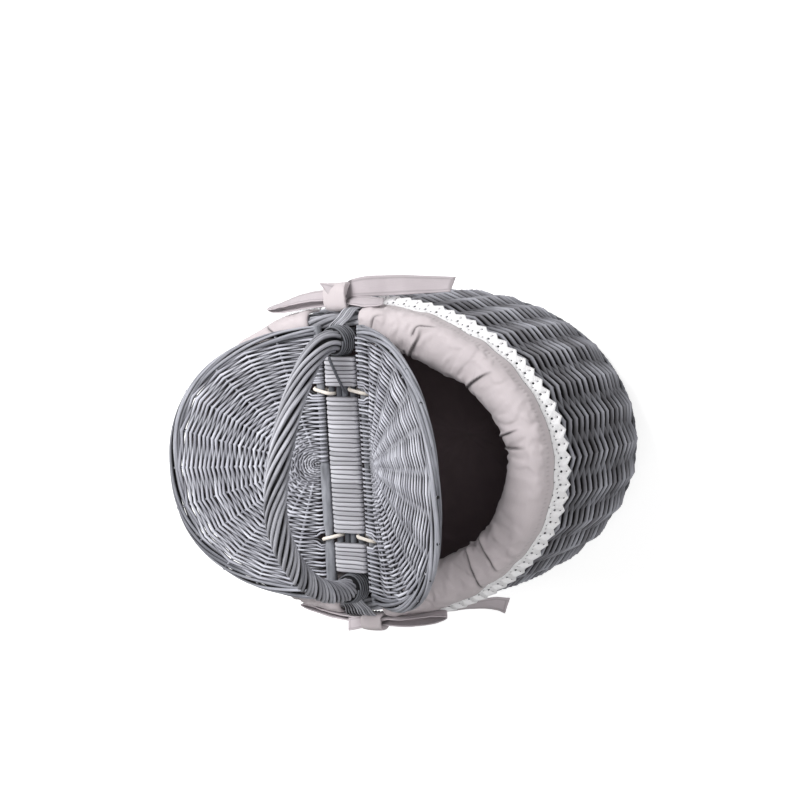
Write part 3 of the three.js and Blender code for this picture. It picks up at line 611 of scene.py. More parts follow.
def weave_side():
    """Stakes, and rows of rods woven in front of one stake and behind the next."""
    steps = 6
    corners = round_body(STAKES)
    low, high = SIDE_LEVELS
    rows = []
    for row in range(SIDE_ROWS):
        level = low + (high - low) * row / (SIDE_ROWS - 1)
        bends = []
        for k, angle in enumerate(corners):
            give = 0.7 * waver(k * 1.9, row * 2.7, 1)
            swing = SIDE_SWING if (k + row) % 2 else -SIDE_SWING
            x, y, z = on_oval(angle, level, SIDE_MIDDLE + swing + give)
            bends.append(Vector((x, y, z + 0.7 * waver(k * 1.3, row * 1.7, 5))))
        rows.append([(*place, 1 + 0.13 * waver(k * 0.4 + i * 0.4 / steps, row * 5.3, 3))
                     for k, i, place in run_between(bends, steps, 0.035, closed=True)])
    side = rods("side_weave", rows, SIDE_ROD_RADIUS, closed=True, seed=11, outward=from_axis)
    finish_piece(side, side_willow, "willow", "side_wall")
    low, high = STAKE_LEVELS
    levels = [low + (high - low) * i / 14 for i in range(15)]
    stakes = [[on_oval(angle, level, SIDE_MIDDLE) for level in levels] for angle in corners]
    finish_piece(rods("side_stakes", stakes, STAKE_RADIUS, seed=12, outward=from_axis), side_willow, "willow")


def roped_ring(outset, height, strands, circle, twist, wide=1.0):
    """Strands twisted round each other all the way round the oval."""
    count = 288
    angles = round_body(count)
    paths = []
    for strand in range(strands):
        path = []
        for i, angle in enumerate(angles):
            turn = 2 * math.pi * (strand / strands + twist * i / count)
            x, y, z = on_oval(angle, height, outset + wide * circle * math.cos(turn))
            path.append((x, y, z + circle * math.sin(turn)))
        paths.append(path)
    return paths


def from_ring(outset, height):
    """Away from the middle of a ring of strands round the oval."""
    return from_line([on_oval(angle, height, outset) for angle in round_body(720)])


def weave_border_and_hoop():
    """Five rods roped round the rim, and two rows of three roped round the foot."""
    strands = roped_ring(-BORDER_INSET, BORDER_MIDDLE, 5, 3.7, 9, 1.1)
    border = rods("rim_border_rods", strands, BORDER_ROD_RADIUS, closed=True, seed=21,
                  outward=from_ring(-BORDER_INSET, BORDER_MIDDLE))
    finish_piece(border, handle_willow, "willow_dark", "rim_border")
    wale = []
    for level, twist in zip(HOOP_LEVELS, (27, -27)):
        wale += roped_ring(SIDE_MIDDLE, level, 3, 2.5, twist)
    hoop = rods("base_hoop_rods", wale, BORDER_ROD_RADIUS, closed=True, seed=22, outward=from_axis)
    finish_piece(hoop, border_willow, "willow_dark", "base_hoop")


def weave_base():
    """Oval base: sticks out from the middle, and rods woven over and under them."""
    steps = 4
    length, width = oval_at(0, BASE_OUTSET)

    def spot(turn, share, lift=0):
        angle = 2 * math.pi * turn / BASE_STICKS
        return (length * share * math.cos(angle), width * share * math.sin(angle), BASE_MIDDLE + lift)

    weavers = []
    for row in range(BASE_ROWS):
        share = (row + 1) / BASE_ROWS
        swing = 2.3 * min(1, 2.5 * share)
        turns = [i / steps for i in range(BASE_STICKS * steps)]
        weavers.append([spot(turn, share, swing * zigzag(turn + row)) for turn in turns])
    base = rods("base_weave", weavers, BASE_ROD_RADIUS, sides=6, closed=True, seed=31)
    finish_piece(base, side_willow, "willow", "base_panel")
    spokes = [[spot(k, share) for share in (0.02, 0.35, 0.7, 1.0)] for k in range(BASE_STICKS)]
    sticks = rods("base_sticks", spokes, BASE_STICK_RADIUS, sides=6, seed=32)
    finish_piece(sticks, dark_willow, "willow_dark")


# Handle


def handle_line():
    """The middle line of the handle, from its front foot over the crown to its back foot."""
    foot, straight, crown, lean = HANDLE_FOOT, HANDLE_STRAIGHT, HANDLE_CROWN, HANDLE_LEAN
    (front_rise, front_reach), (back_rise, back_reach) = FRONT_PULLS, BACK_PULLS
    front = [(foot, straight), (foot, straight + front_rise), (lean + front_reach, crown), (lean, crown)]
    back = [(lean, crown), (lean - back_reach, crown), (-foot, straight + back_rise), (-foot, straight)]
    line = [(foot, HANDLE_LOW), (foot, (HANDLE_LOW + straight) / 2)]
    for pulls in (front, back):
        for i in range(40):
            t = i / 40
            shares = ((1 - t) ** 3, 3 * t * (1 - t) ** 2, 3 * t * t * (1 - t), t ** 3)
            line.append(tuple(sum(w * pull[k] for w, pull in zip(shares, pulls)) for k in (0, 1)))
    line += [(-foot, straight), (-foot, (HANDLE_LOW + straight) / 2), (-foot, HANDLE_LOW)]
    return [Vector((0, y, z)) for y, z in line]


def even_line(line, step):
    """The same line with points an even step apart, and how far along each lies."""
    run = run_along(line)
    count = round(run[-1] / step)
    along = [run[-1] * i / count for i in range(count + 1)]
    axes = [np.interp(along, run, [point[k] for point in line]) for k in range(3)]
    return [Vector(place) for place in zip(*axes)], along


def smooth(points, steps):
    """A round curve through points, with steps on each span."""
    points = [Vector(point) for point in points]
    ends = [2 * points[0] - points[1], *points, 2 * points[-1] - points[-2]]
    curve = []
    for a, b, c, d in zip(ends, ends[1:], ends[2:], ends[3:]):
        for i in range(steps):
            t = i / steps
            curve.append(0.5 * (2 * b + (c - a) * t + (2 * a - 5 * b + 4 * c - d) * t ** 2
                                + (3 * b - a - 3 * c + d) * t ** 3))
    return [*curve, points[-1]]


def rope_handle():
    """Strands laid together, in a long lay over the front half that gets shorter towards the back foot."""
    shortening = lambda share: min(1, max(0, (share - 0.3) / 0.45))
    line, along = even_line(handle_line(), 2.6)
    across = Vector((1, 0, 0))
    wound = [0.0]
    for before, after in zip(along, along[1:]):
        lay = LONG_LAY - (LONG_LAY - SHORT_LAY) * shortening(after / along[-1])
        wound.append(wound[-1] + (after - before) / lay)
    paths = []
    for strand in range(ROPE_STRANDS):
        path = []
        for i, (place, run) in enumerate(zip(line, along)):
            ahead = (line[min(i + 1, len(line) - 1)] - line[max(i - 1, 0)]).normalized()
            turn = 2 * math.pi * (strand / ROPE_STRANDS + wound[i])
            turn += 0.25 * waver(run * 0.02, strand * 7.1, 0.5)
            out = across * math.cos(turn) + ahead.cross(across) * math.sin(turn)
            slim = 0.15 * shortening(run / along[-1])
            thick = 1 - slim + 0.14 * waver(run * 0.015, strand * 3.3, 4)
            reach = ROPE_REACH + 2 * slim + 0.4 * waver(run * 0.03, strand * 5.7, 9)
            path.append((*(place + out * reach), thick))
        paths.append(path)
    rope = rods("handle_rope", paths, ROPE_STRAND_RADIUS, seed=41, outward=from_line(line))
    finish_piece(rope, handle_willow, "willow_dark", "handle_bow")
    # Painted shade: the core is dark nearly all over, as it is only seen in the shade between the strands.
    core = rods("handle_core", [line], ROPE_CORE_RADIUS, seed=42, outward=sunk)
    finish_piece(core, dark_willow, "willow_dark")


def bind_handle():
    """Thin rods wound round each foot, and a bundle of rods that goes on over the border."""
    for name, side in (("front", 1), ("back", -1)):
        wind_foot(name, side)
        tie_foot(name, side)


def wind_foot(name, side):
    """A thin rod wound round a foot of the handle, over a packing."""
    turns = 6
    steps = 24
    foot = side * HANDLE_FOOT
    path = []
    for i in range(turns * steps + 1):
        angle = 2 * math.pi * i / steps
        share = i / (turns * steps)
        level = BINDING_LOW + 18.5 * share + 2.6 * math.sin(angle + 0.5) * side
        reach = 14.7 - 2.2 * share + 0.3 * waver(i * 0.15, side, 2)
        path.append((reach * math.cos(angle), foot + reach * math.sin(angle), level))
    axis = [(0, foot, z) for z in range(230, 250)]
    binding = rods(f"handle_binding_{name}_rods", [path], BINDING_RADIUS, seed=51, outward=from_line(axis))
    # The bindings take the darker border finish: painted shade, for the shadow that they lie in.
    finish_piece(binding, border_willow, "willow_dark", f"handle_binding_{name}")
    packing = [(0, foot, z, 13.8 - (z - 238) * 0.13) for z in range(238, 257, 6)]
    # Painted shade: the packing is dark nearly all over, as it is only seen in the shade under the binding.
    sleeve = rods(f"handle_packing_{name}", [packing], 1, sides=16, seed=53, outward=sunk)
    finish_piece(sleeve, dark_willow, "willow_dark")


def tie_foot(name, side):
    """A bundle of thin rods from a foot of the handle over the border; it spreads more at the back."""
    count, spread, shift = (6, 2.6, 9) if side > 0 else (10, 3.6, 0)
    ties = []
    for k in range(count):
        x = (k - (count - 1) / 2) * 2.5
        end = (k - (count - 1) / 2) * spread + shift
        lift = 0.5 * waver(k * 3.1, side, 6)
        tie = [
            (x - 3, HANDLE_FOOT + 7, 250 + lift), (x - 2, HANDLE_FOOT + 14, 245.5 + lift),
            (0.6 * x + 0.4 * end, 139, 240.6 + lift), (0.2 * x + 0.8 * end, 145.5, 236.3 + lift),
            (end, 147.6, 229), (end + 0.2 * shift, 147.2, 217),
        ]
        ties.append(smooth([(x, side * y, z) for x, y, z in tie], 6))
    lane = [(-1, HANDLE_FOOT + 7, 244), (0, 136, 236), (3, 142, 232), (6, 142, 217)]
    lane = smooth([(x, side * y, z) for x, y, z in lane], 8)
    bundle = rods(f"handle_ties_{name}", ties, TIE_RADIUS, seed=52, outward=from_line(lane))
    finish_piece(bundle, handle_willow, "willow_dark")


# Bar


def bar_outline(turn, grow):
    """A point of the bar's rounded section, from 0 to 1 round it."""
    wide, thick = (half + grow for half in BAR_HALF)
    angle = 2 * math.pi * turn
    return wide * signed_power(math.cos(angle), 0.35), thick * signed_power(math.sin(angle), 0.55)


def wind_bar():
    """Flat cane wound edge to edge round the bar, in three runs, over its laths."""
    for name, low, high in CANE_RUNS:
        turns = round((high - low) / CANE_PITCH)
        steps = turns * 8

        def place(s, t):
            strip = t * turns
            inside = abs(2 * (strip - math.floor(strip)) - 1)
            groove = -1.4 * inside ** 9 - 0.3 * inside ** 2
            end = min(1, min(t, 1 - t) * steps / 1.2)
            grow = groove - 2.6 * (1 - end) + 0.3 * waver(math.floor(strip) * 2.1, s * 6, low)
            x, z = bar_outline(s, grow)
            lean = 0.5 * CANE_PITCH * (s - 0.5) * end + 0.9 * waver(strip * 0.45, 5 * s, low) * end
            y = min(high, max(low, low + (high - low) * t + lean))
            return (x, y, HINGE_HEIGHT + z)

        wrap = sheet(f"bar_cane_{name}", 40, steps, place, (9.2, turns * CANE_MAP_WIDTH), join=True)
        strip = read_map(wrap.data)[:, 1] / CANE_MAP_WIDTH
        # Painted shade in the grooves between the turns of cane.
        mark(wrap.data, "painted_shade", "CORNER", np.abs(2 * (strip - np.floor(strip)) - 1) ** 5)
        chance = random.Random(61)
        shades = [chance.random() for _ in range(turns + 1)]
        turn_of = lambda face: min(turns, int(strip[list(face.loop_indices)].mean()))
        mark(wrap.data, "tone", "FACE", [shades[turn_of(face)] for face in wrap.data.polygons])
        finish_piece(wrap, pale_cane, "cane", f"bar_wrap_{name}")

    lengthwise = np.linspace(-LATH_HALF_LENGTH, LATH_HALF_LENGTH, 24)
    laths = [[(x, y, HINGE_HEIGHT) for y in lengthwise] for x in LATHS]
    finish_piece(rods("bar_rods", laths, LATH_RADIUS, sides=10, seed=62), dark_willow, "willow", "bar_core")
    strand = [(-9, 103, 250), (-8, 100.5, 252.2), (-1, 86, 252.3), (6.2, 71.5, 252), (7.6, 68.6, 249.5)]
    finish_piece(rods("bar_strand", [strand], STRAND_RADIUS, seed=64), dark_willow, "cane")


def loop_places(side):
    """Place along the bar and slant of the front and back hinge loop of a lid."""
    return [(HINGE_Y, side * LOOP_SLANT), (-HINGE_Y, LOOP_SLANT)]


def tie_hinges():
    """Cream cane wound round the edge of the bar and the rod of the lid."""
    inner, outer, reach = LOOP_INNER, HINGE_REACH, LOOP_REACH
    middle = (inner + outer) / 2
    path = []
    for i in range(13):
        angle = -math.pi / 2 + math.pi * i / 12
        path.append((outer + reach * math.cos(angle), reach * math.sin(angle)))
    for i in range(13):
        angle = math.pi / 2 + math.pi * i / 12
        path.append((inner + 0.8 * reach * math.cos(angle), (reach + 0.6) * math.sin(angle)))
    for side_name, side in SIDES:
        for where, (y, slant) in zip(("front", "back"), loop_places(side)):
            turn = [(side * x, y + slant * (middle - x), HINGE_HEIGHT + z) for x, z in path]
            loop = rods(f"hinge_cane_{side_name}_{where}", [turn], LOOP_RADIUS, sides=10, closed=True,
                        seed=63)
            finish_piece(loop, cream_cane, "cane_cream", f"hinge_loop_{side_name}_{where}")


# Lids


def lid_place(side, x, y, z):
    """A point of a lid's own frame, out from its hinge, in the frame of the basket."""
    if side < 0:
        return (-HINGE_REACH - x, -y, HINGE_HEIGHT + z)
    turn_x = x * math.cos(LID_OPEN) - z * math.sin(LID_OPEN)
    turn_z = x * math.sin(LID_OPEN) + z * math.cos(LID_OPEN)
    return (HINGE_REACH + turn_x, y, HINGE_HEIGHT + turn_z)


def lid_skew(side, x):
    """How far a lid is drawn aside at a distance from its hinge."""
    return -side * LID_SKEW * x / LID_LENGTH


def from_lid(side):
    """Open side and depth for the painted shade of a lid's rods: out of its face, up above it and down below
    it, and deep where a rod passes under a rib.
    """
    foot = Vector(lid_place(side, 0, 0, 0))
    ends = [Vector(lid_place(side, *axis)) for axis in ((1, 0, 0), (0, 1, 0), (0, 0, 1))]
    axes = np.array([tuple(end - foot) for end in ends])

    def away(places, normals):
        local = (places - np.array(tuple(foot))) @ axes.T
        side_up = np.where(normals @ axes[2] < 0, -1, 1)
        crown = np.array([lid_crown(x, y) for x, y in local[:, :2]])
        offset = (local[:, 2] - crown) * side_up
        return side_up[:, None] * axes[2][None, :], 0.95 * np.clip((2.5 - offset) / 3.3, 0, 1)

    return away


def lid_crown(x, y):
    """Height of a lid's weave above its flat, highest in the middle."""
    along = (x - 8.8) / (LID_LENGTH - 22.1)
    across = y / (LID_HALF_WIDTH - 13.3)
    return LID_CROWN * max(0, 4 * along * (1 - along)) * max(0, 1 - across ** 2)


def half_oval(angle, length, width):
    power = 2 / LID_SQUARENESS
    return length * signed_power(math.cos(angle), power), width * signed_power(math.sin(angle), power)


def weave_oval(angle, share):
    """A point of a lid's weave, by its angle and its share of the way out."""
    x, y = half_oval(angle, (LID_LENGTH - LID_INSET - LID_CENTRE) * share, (LID_HALF_WIDTH - LID_INSET) * share)
    return x + LID_CENTRE, y


def lid_angles(outline, count):
    """Angles that lie evenly along the curve of a lid."""
    return even_angles(lambda angle: (*outline(angle), 0), -math.pi / 2, math.pi / 2, count)


def make_way(side, y, x):
    """Moves a weaver aside where a hinge loop goes through the weave."""
    near = min(1, max(0, (14 - x) / 4.5))
    for along, slant in loop_places(side):
        middle = side * (along - 8 * slant)
        away = y - middle
        if abs(away) < LOOP_EASE:
            opened = math.copysign(LOOP_GAP + abs(away) * (LOOP_EASE - LOOP_GAP) / LOOP_EASE, away)
            return middle + away + (opened - away) * near
    return y


def weave_lid(name, side):
    """Half ovals woven over and under ribs that spread from the middle of the hinge rod."""
    gaps = LID_RIBS + 1
    steps = 5
    angles = lid_angles(lambda angle: weave_oval(angle, 1), gaps)
    weavers = []
    for row in range(LID_ROWS):
        share = (row + 0.7) / LID_ROWS
        slim = min(1, (3.2 * share) ** 1.4)
        bends = []
        for k, angle in enumerate(angles):
            x, y = weave_oval(angle, share)
            drift = 1.4 * waver(k * 1.7, row * 2.3, side) * slim
            lift = 2.5 * slim * (1 if (k + row) % 2 else -1) + 0.4 * waver(k * 2.9, row * 1.1, 7)
            z = lid_crown(x, y) + lift
            bends.append(Vector((x + drift * math.cos(angle), y + drift * math.sin(angle), z)))
        path = []
        for k, i, place in run_between(bends, steps, 0.04):
            spot = (k + i / steps) / gaps
            thick = 0.7 + 0.36 * math.sin(math.pi * spot) * min(1, 1.6 * share + 0.4)
            thick += 0.3 * waver(k * 0.5 + i * 0.1, row * 4.1, side)
            thick *= 1.14 - 0.22 * math.sin(math.pi * i / steps)
            path.append((*place, thick))
        path.append((*bends[-1], 0.7))
        top = 1 if row % 2 else -1
        path = wrap_end(path[0][1], top)[::-1] + path + wrap_end(path[-1][1], top if side > 0 else -1)
        weavers.append([(*lid_place(side, x, make_way(side, y, x) + lid_skew(side, x), z), thick)
                        for x, y, z, thick in path])
    seed = 71 if side < 0 else 72
    panel = rods(f"{name}_lid_weave", weavers, LID_ROD_RADIUS, seed=seed, outward=from_lid(side))
    finish_piece(panel, lid_willow, "willow_pale", f"{name}_lid_panel", body=f"{name}_lid")
    ribs = []
    for angle in angles[1:-1]:
        spots = [weave_oval(angle, 0.15 + 0.92 * i / 12) for i in range(13)]
        ribs.append([lid_place(side, x, y + lid_skew(side, x), lid_crown(x, y)) for x, y in spots])
    sticks = rods(f"{name}_lid_ribs", ribs, LID_RIB_RADIUS, seed=73, outward=from_lid(side))
    finish_piece(sticks, lid_willow, "willow_pale", body=f"{name}_lid")


def wrap_end(y, top):
    """From the end of a weaver round the hinge rod: over it, or only down to its underside."""
    wound = 4.95
    sweep = (1.1 if top > 0 else 0.15) * math.pi
    angles = [top * (math.pi / 2 + sweep * i / 8) for i in range(9)]
    return [(wound * math.cos(angle), y, wound * math.sin(angle), 0.85) for angle in angles]


def edge_lid(name, side):
    """Thick rods laid loosely round each other along the curve, ending at the hinge rod."""
    count = 130
    angles = lid_angles(lambda angle: half_oval(angle, LID_LENGTH, LID_HALF_WIDTH), count)
    paths = []
    for k in range(EDGE_STRANDS):
        path = []
        for i, angle in enumerate(angles):
            turn = 2 * math.pi * (k / EDGE_STRANDS + 1.4 * i / count) + 0.7 * waver(i * 0.035, k * 3.1, side)
            inset = 5.7 - 4.3 * math.cos(turn) + 0.9 * waver(i * 0.06, k * 9.7, 2)
            level = 3.2 * math.sin(turn) + 0.6 * waver(i * 0.05, k * 5.1, 4)
            x, y = half_oval(angle, LID_LENGTH - inset, LID_HALF_WIDTH - inset)
            thick = 1 + 0.15 * waver(i * 0.025, k * 3.7, 8)
            path.append((*lid_place(side, x, y + lid_skew(side, x), level), thick))
        paths.append(path)
    middle = [[sum(path[i][k] for path in paths) / EDGE_STRANDS for k in range(3)] for i in range(count + 1)]
    seed = 74 if side < 0 else 75
    border = rods(f"{name}_lid_border_rods", paths, EDGE_ROD_RADIUS, seed=seed, outward=from_line(middle))
    finish_piece(border, lid_edge_willow, "willow_pale", f"{name}_lid_border", body=f"{name}_lid")


def lay_hinge_rod(name, side):
    """The rod along the hinge; the closed lid's is bare, and so thicker, on one half away from the loop."""
    rod = []
    for y in np.linspace(-LID_HALF_WIDTH, LID_HALF_WIDTH, 100):
        bare = 1.3 * min(1, max(0, (abs(y - HINGE_Y) - 5) / 6)) if side < 0 and y > 0 else 0
        rod.append((*lid_place(side, 0, y, 0), HINGE_ROD_RADIUS + bare))
    hinge = rods(f"{name}_lid_rod", [rod], 1, sides=16, seed=76)
    finish_piece(hinge, border_willow, "willow", f"{name}_lid_hinge_rod", body=f"{name}_lid")


# Liner


def rim_place(side, angle, outset, z):
    """A point beside the rim, at an angle from the tip of one half of the oval."""
    return (side * (RIM_HALF[0] + outset) * math.cos(angle), (RIM_HALF[1] + outset) * math.sin(angle), z)


def cuff_span(side):
    """Angles from the back gap to the front gap of one half of the rim."""
    back, front = (math.acos(gap / (RIM_HALF[0] + 6)) for gap in CUFF_GAPS[side])
    return even_angles(lambda angle: rim_place(side, angle, 0, 0), -back, front, SPAN_STEPS)


def span_angle(angles, share):
    """Angle at a share of the way along a cuff."""
    return np.interp(np.asarray(share) * SPAN_STEPS, range(SPAN_STEPS + 1), angles)


def gather(along, pleats):
    """How much a cuff is dented at each place along it, and how far its edge in the mouth sags."""
    corners = np.array(sorted(line[0][0] for _, line in pleats if line[0][1] == 0))
    apart = np.abs(along[:, None] - corners[None, :]).min(axis=1)
    pulled = 0.35 + 0.75 * np.exp(-(apart / 30) ** 2)
    sag = 1.6 * np.exp(-(apart / 12) ** 2)
    for first, last in zip(corners, corners[1:]):
        share = np.clip((along - first) / (last - first), 0, 1)
        sag += min(6, (last - first) ** 2 / 1300) * 4 * share * (1 - share)
    return pulled, sag


def rim_run(angles):
    """How far along the rim each angle lies from the tip of the oval, towards the front."""
    table = np.linspace(-math.pi / 2, math.pi / 2, 2001)
    steps = np.hypot(np.diff(RIM_HALF[0] * np.cos(table)), np.diff(RIM_HALF[1] * np.sin(table)))
    run = np.concatenate([[0], np.cumsum(steps)])
    return np.interp(angles, table, run - run[1000])


CUFF_LINE = smooth([
    (-29.85, 219.8, 0), (-27.2, 226.5, 0), (-22.5, 232.4, 0), (-13.3, 236.6, 0), (-4, 237.3, 0),
    (2.6, 235.6, 0), (7, 230.5, 0), (8.6, 223, 0), (8.2, HEM_HEIGHT, 0),
], 10)
CUFF_SHARES = np.linspace(0, 1, len(CUFF_LINE))


def cuff_section(t):
    """Outset and height of a cuff from its sewn edge in the mouth, at 0, to its hem, at 1."""
    return tuple(float(np.interp(t, CUFF_SHARES, [point[k] for point in CUFF_LINE])) for k in (0, 1))


def crease(along, t, seed):
    """Height of the soft folds of a gathered cuff, between about -1 and 1."""
    folds = waver(along * 0.045, t * 1.3, seed)
    sharp = 1 - 2.4 * abs(waver(along * 0.022 + 0.25 * t, t * 0.8, seed + 9))
    return 0.65 * folds + 0.5 * max(-0.6, sharp)


def dimple(run, t, seed):
    """Soft dents in a cuff, no deeper than the border under it lets them be."""
    dent = 3.4 * waver(run * 0.085, t * 4, seed) + 1.6 * waver(run * 0.17, t * 8, seed + 3)
    return math.tanh(dent)


def pinch_pleats(along, down, pleats):
    """Height and painted shade of pinched pleats on a cuff.

    Each is a roll of cloth on one side of a line and a fold on the other.
    """
    height = np.zeros((len(down), len(along)))
    dark = np.zeros_like(height)
    u, v = np.meshgrid(along, down)
    for lap, line in pleats:
        points = smooth([(run, t * down[-1]) for run, t in line], 5)
        lengths = [math.dist(a, b) for a, b in zip(points, points[1:])]
        nearest = np.full_like(height, 1e9)
        offset = np.zeros_like(height)
        spot = np.zeros_like(height)
        done = 0
        for a, b, length in zip(points, points[1:], lengths):
            ahead = ((b[0] - a[0]) / length, (b[1] - a[1]) / length)
            share = np.clip(((u - a[0]) * ahead[0] + (v - a[1]) * ahead[1]) / length, 0, 1)
            away_u = u - a[0] - share * length * ahead[0]
            away_v = v - a[1] - share * length * ahead[1]
            distance = np.hypot(away_u, away_v)
            closer = distance < nearest
            nearest = np.where(closer, distance, nearest)
            offset = np.where(closer, lap * (away_u * ahead[1] - away_v * ahead[0]), offset)
            spot = np.where(closer, (done + share * length) / sum(lengths), spot)
            done += length
        bell = lambda width: np.exp(-(nearest / width) ** 2)
        fade = np.clip((1 - spot) * 3.0, 0, 1)
        roll = np.where(offset > 0, bell(4.5), bell(0.7))
        fold = np.where(offset > 0, 0, bell(2.2))
        height += fade * (1.9 * roll - 1.3 * fold)
        # Painted shade along the fold and at the edge of the roll of each pleat.
        dark = np.maximum(dark, np.minimum(0.85, 1.1 * fade * np.where(offset > 0, bell(0.8), bell(2.0))))
    return height, dark


def sew_liner():
    for name, side in SIDES:
        angles = cuff_span(side)
        length = sew_cuff(name, side, angles)
        sew_lace(name, side, angles, length)


def sew_cuff(name, side, angles):
    """A cuff folded out over the border, gathered in pleats and stitched along its hem."""
    columns, rows = CUFF_GRID
    along = rim_run(span_angle(angles, np.linspace(0, 1, columns + 1)))
    length = along[-1] - along[0]
    height, dark = pinch_pleats(along, np.linspace(0, CUFF_DEPTH, rows + 1), PLEATS[side])
    pulled, sag = gather(along, PLEATS[side])
    ticks = np.sin(along * 1.6 + 2 * np.array([waver(run * 0.1, 3, side) for run in along]))
    stitches = np.outer(np.exp(-((np.linspace(0, 1, rows + 1) - STITCH_LINE) / 0.03) ** 2), ticks)

    def cuff_point(s, t):
        i, j = round(s * columns), round(t * rows)
        outset, z = cuff_section(t)
        before, after = cuff_section(max(0, t - 0.01)), cuff_section(min(1, t + 0.01))
        run = math.dist(before, after)
        normal = ((before[1] - after[1]) / run, (after[0] - before[0]) / run)
        hem = max(0, (t - 0.62) / 0.38)
        lift = 2.4 * crease(along[i], t, 3.1 + side) * (0.6 + 0.4 * hem) + height[j, i]
        lift += pulled[i] * min(1, (1 - t) / 0.2) * dimple(along[i], t, 5 + side)
        lift += 0.9 * hem_wave(along[i], side) * hem * hem + 0.4 * stitches[j, i]
        end = min(along[i] - along[0], along[-1] - along[i])
        lift -= 2.8 * (1 - math.sqrt(1 - (1 - min(1, end / 6)) ** 2))
        outset += lift * normal[0] - sag[i] * max(0, 1 - t / 0.5)
        z = min(CUFF_TOP, z + lift * normal[1] + 1.3 * hem * hem * waver(along[i] * 0.05, 8, side))
        return rim_place(side, span_angle(angles, s), outset, z)

    cuff = sheet(f"cuff_{name}_cloth", columns, rows, cuff_point, (length / 10, CUFF_DEPTH / 10))
    # Painted shade in the dents of the stitch line, and a painted shadow line along the hem edge.
    dark = np.maximum(dark, 0.22 * np.clip(-stitches, 0, 1))
    dark[-1, :] = 0.6
    mark_points(cuff, dark)
    give_thickness(cuff, CUFF_THICKNESS)
    finish_piece(cuff, pale_cotton, "cotton_pale", f"cuff_{name}")
    return length


def hem_wave(run, side):
    """In and out of the gathered hem, which the lace follows."""
    return 0.5 * math.sin(run / 31 * 2 * math.pi + side) + 0.9 * waver(run * 0.045, 1, 7 + side)


def sew_lace(name, side, angles, length):
    """Lace with eyelets and a pointed edge."""
    columns = round(length / LACE_POINT) * LACE_CELLS
    along = rim_run(span_angle(angles, np.linspace(0, 1, columns + 1)))
    wall_at = lambda z: oval_at(z)[1] - RIM_HALF[1]

    def lace_point(s, t):
        i = round(s * columns)
        tip = 1 - abs(2 * ((i / LACE_CELLS) % 1) - 1)
        z = HEM_HEIGHT + 2.2 - (LACE_DEPTH + LACE_TIP * tip * min(1, 2 * t)) * t
        wall = max(wall_at(z), wall_at(HEM_HEIGHT)) + 4 + 5.5 * t
        outset = LACE_SEAM + (wall - LACE_SEAM) * min(1, t * 1.2)
        outset += 0.5 * hem_wave(along[i], side) * (1 - 0.4 * t)
        outset += 0.3 * waver(s * 60, t * 3, side)
        return rim_place(side, span_angle(angles, s), outset, z)

    lace = sheet(f"lace_{name}_trim", columns, LACE_ROWS, lace_point, (length / 10, 1.5))
    pierce(lace, columns)
    give_thickness(lace, LACE_THICKNESS)
    finish_piece(lace, white_lace, "lace", f"lace_{name}")


def pierce(lace, columns):
    """Opens eyelets in a lace grid: four cells go round a point, and their rim becomes round."""
    bm = bmesh.new()
    bm.from_mesh(lace.data)
    bm.verts.ensure_lookup_table()
    eyelets = [(2, 3, 0.85), (7, 4, 0.9), (5, 8, 1.35), (9, 8, 0.75), (2, 7, 0.7), (5, 11, 0.8)]
    gone = []
    for first in range(0, columns, LACE_CELLS):
        for column, row, reach in eyelets:
            if first + column > columns - 2:
                continue
            middle = bm.verts[row * (columns + 1) + first + column]
            ring = {vert for face in middle.link_faces for vert in face.verts} - {middle}
            for vert in ring:
                away = vert.co - middle.co
                vert.co = middle.co + away.normalized() * reach * MM
            gone.append(middle)
    bmesh.ops.delete(bm, geom=gone, context="VERTS")
    bm.to_mesh(lace.data)
    bm.free()


def sew_pouch():
    """Dark lining, gathered to the neck and slack down the wall to a flat floor."""
    levels = [(-29.6, 219), (-29.6, 208), (-28.5, 196), (-25, 184), (-20, 168), (-16.5, 145), (-15.5, 110),
              (-16, 70), (-20, 40), (-27, 22), (-36, 15.5), (-60, 14.2)]
    places = []
    for outset, z in levels:
        a, b = RIM_HALF if z > POUCH_NECK else oval_at(z)
        places.append((a + outset, b + outset, z))
    places.append((0, 0, levels[-1][1]))
    run = [0.0]
    for before, after in zip(places, places[1:]):
        run.append(run[-1] + math.dist(before, after))

    def pouch_point(s, t):
        a, b, z = (float(np.interp(t * run[-1], run, [place[k] for place in places])) for k in range(3))
        angle = 2 * math.pi * s
        x, y = math.cos(angle), math.sin(angle)
        fold = waver(x * 4 * 2.2, y * 4 * 2.2, z * 0.006) + 0.6 * waver(x * 4 * 5, y * 4 * 5, z * 0.01)
        upright = min(1, max(0, (z - 16) / 30))
        inward = 2.6 * (fold - 0.75) * upright
        return ((a + inward) * x, (b + inward) * y, z + 0.25 * fold * (1 - upright))

    pouch = sheet("liner_pouch_cloth", 240, 60, pouch_point, (105, run[-1] / 10), join=True)
    give_thickness(pouch, POUCH_THICKNESS)
    finish_piece(pouch, dark_cotton, "cotton_dark", "liner_pouch")


# Bows


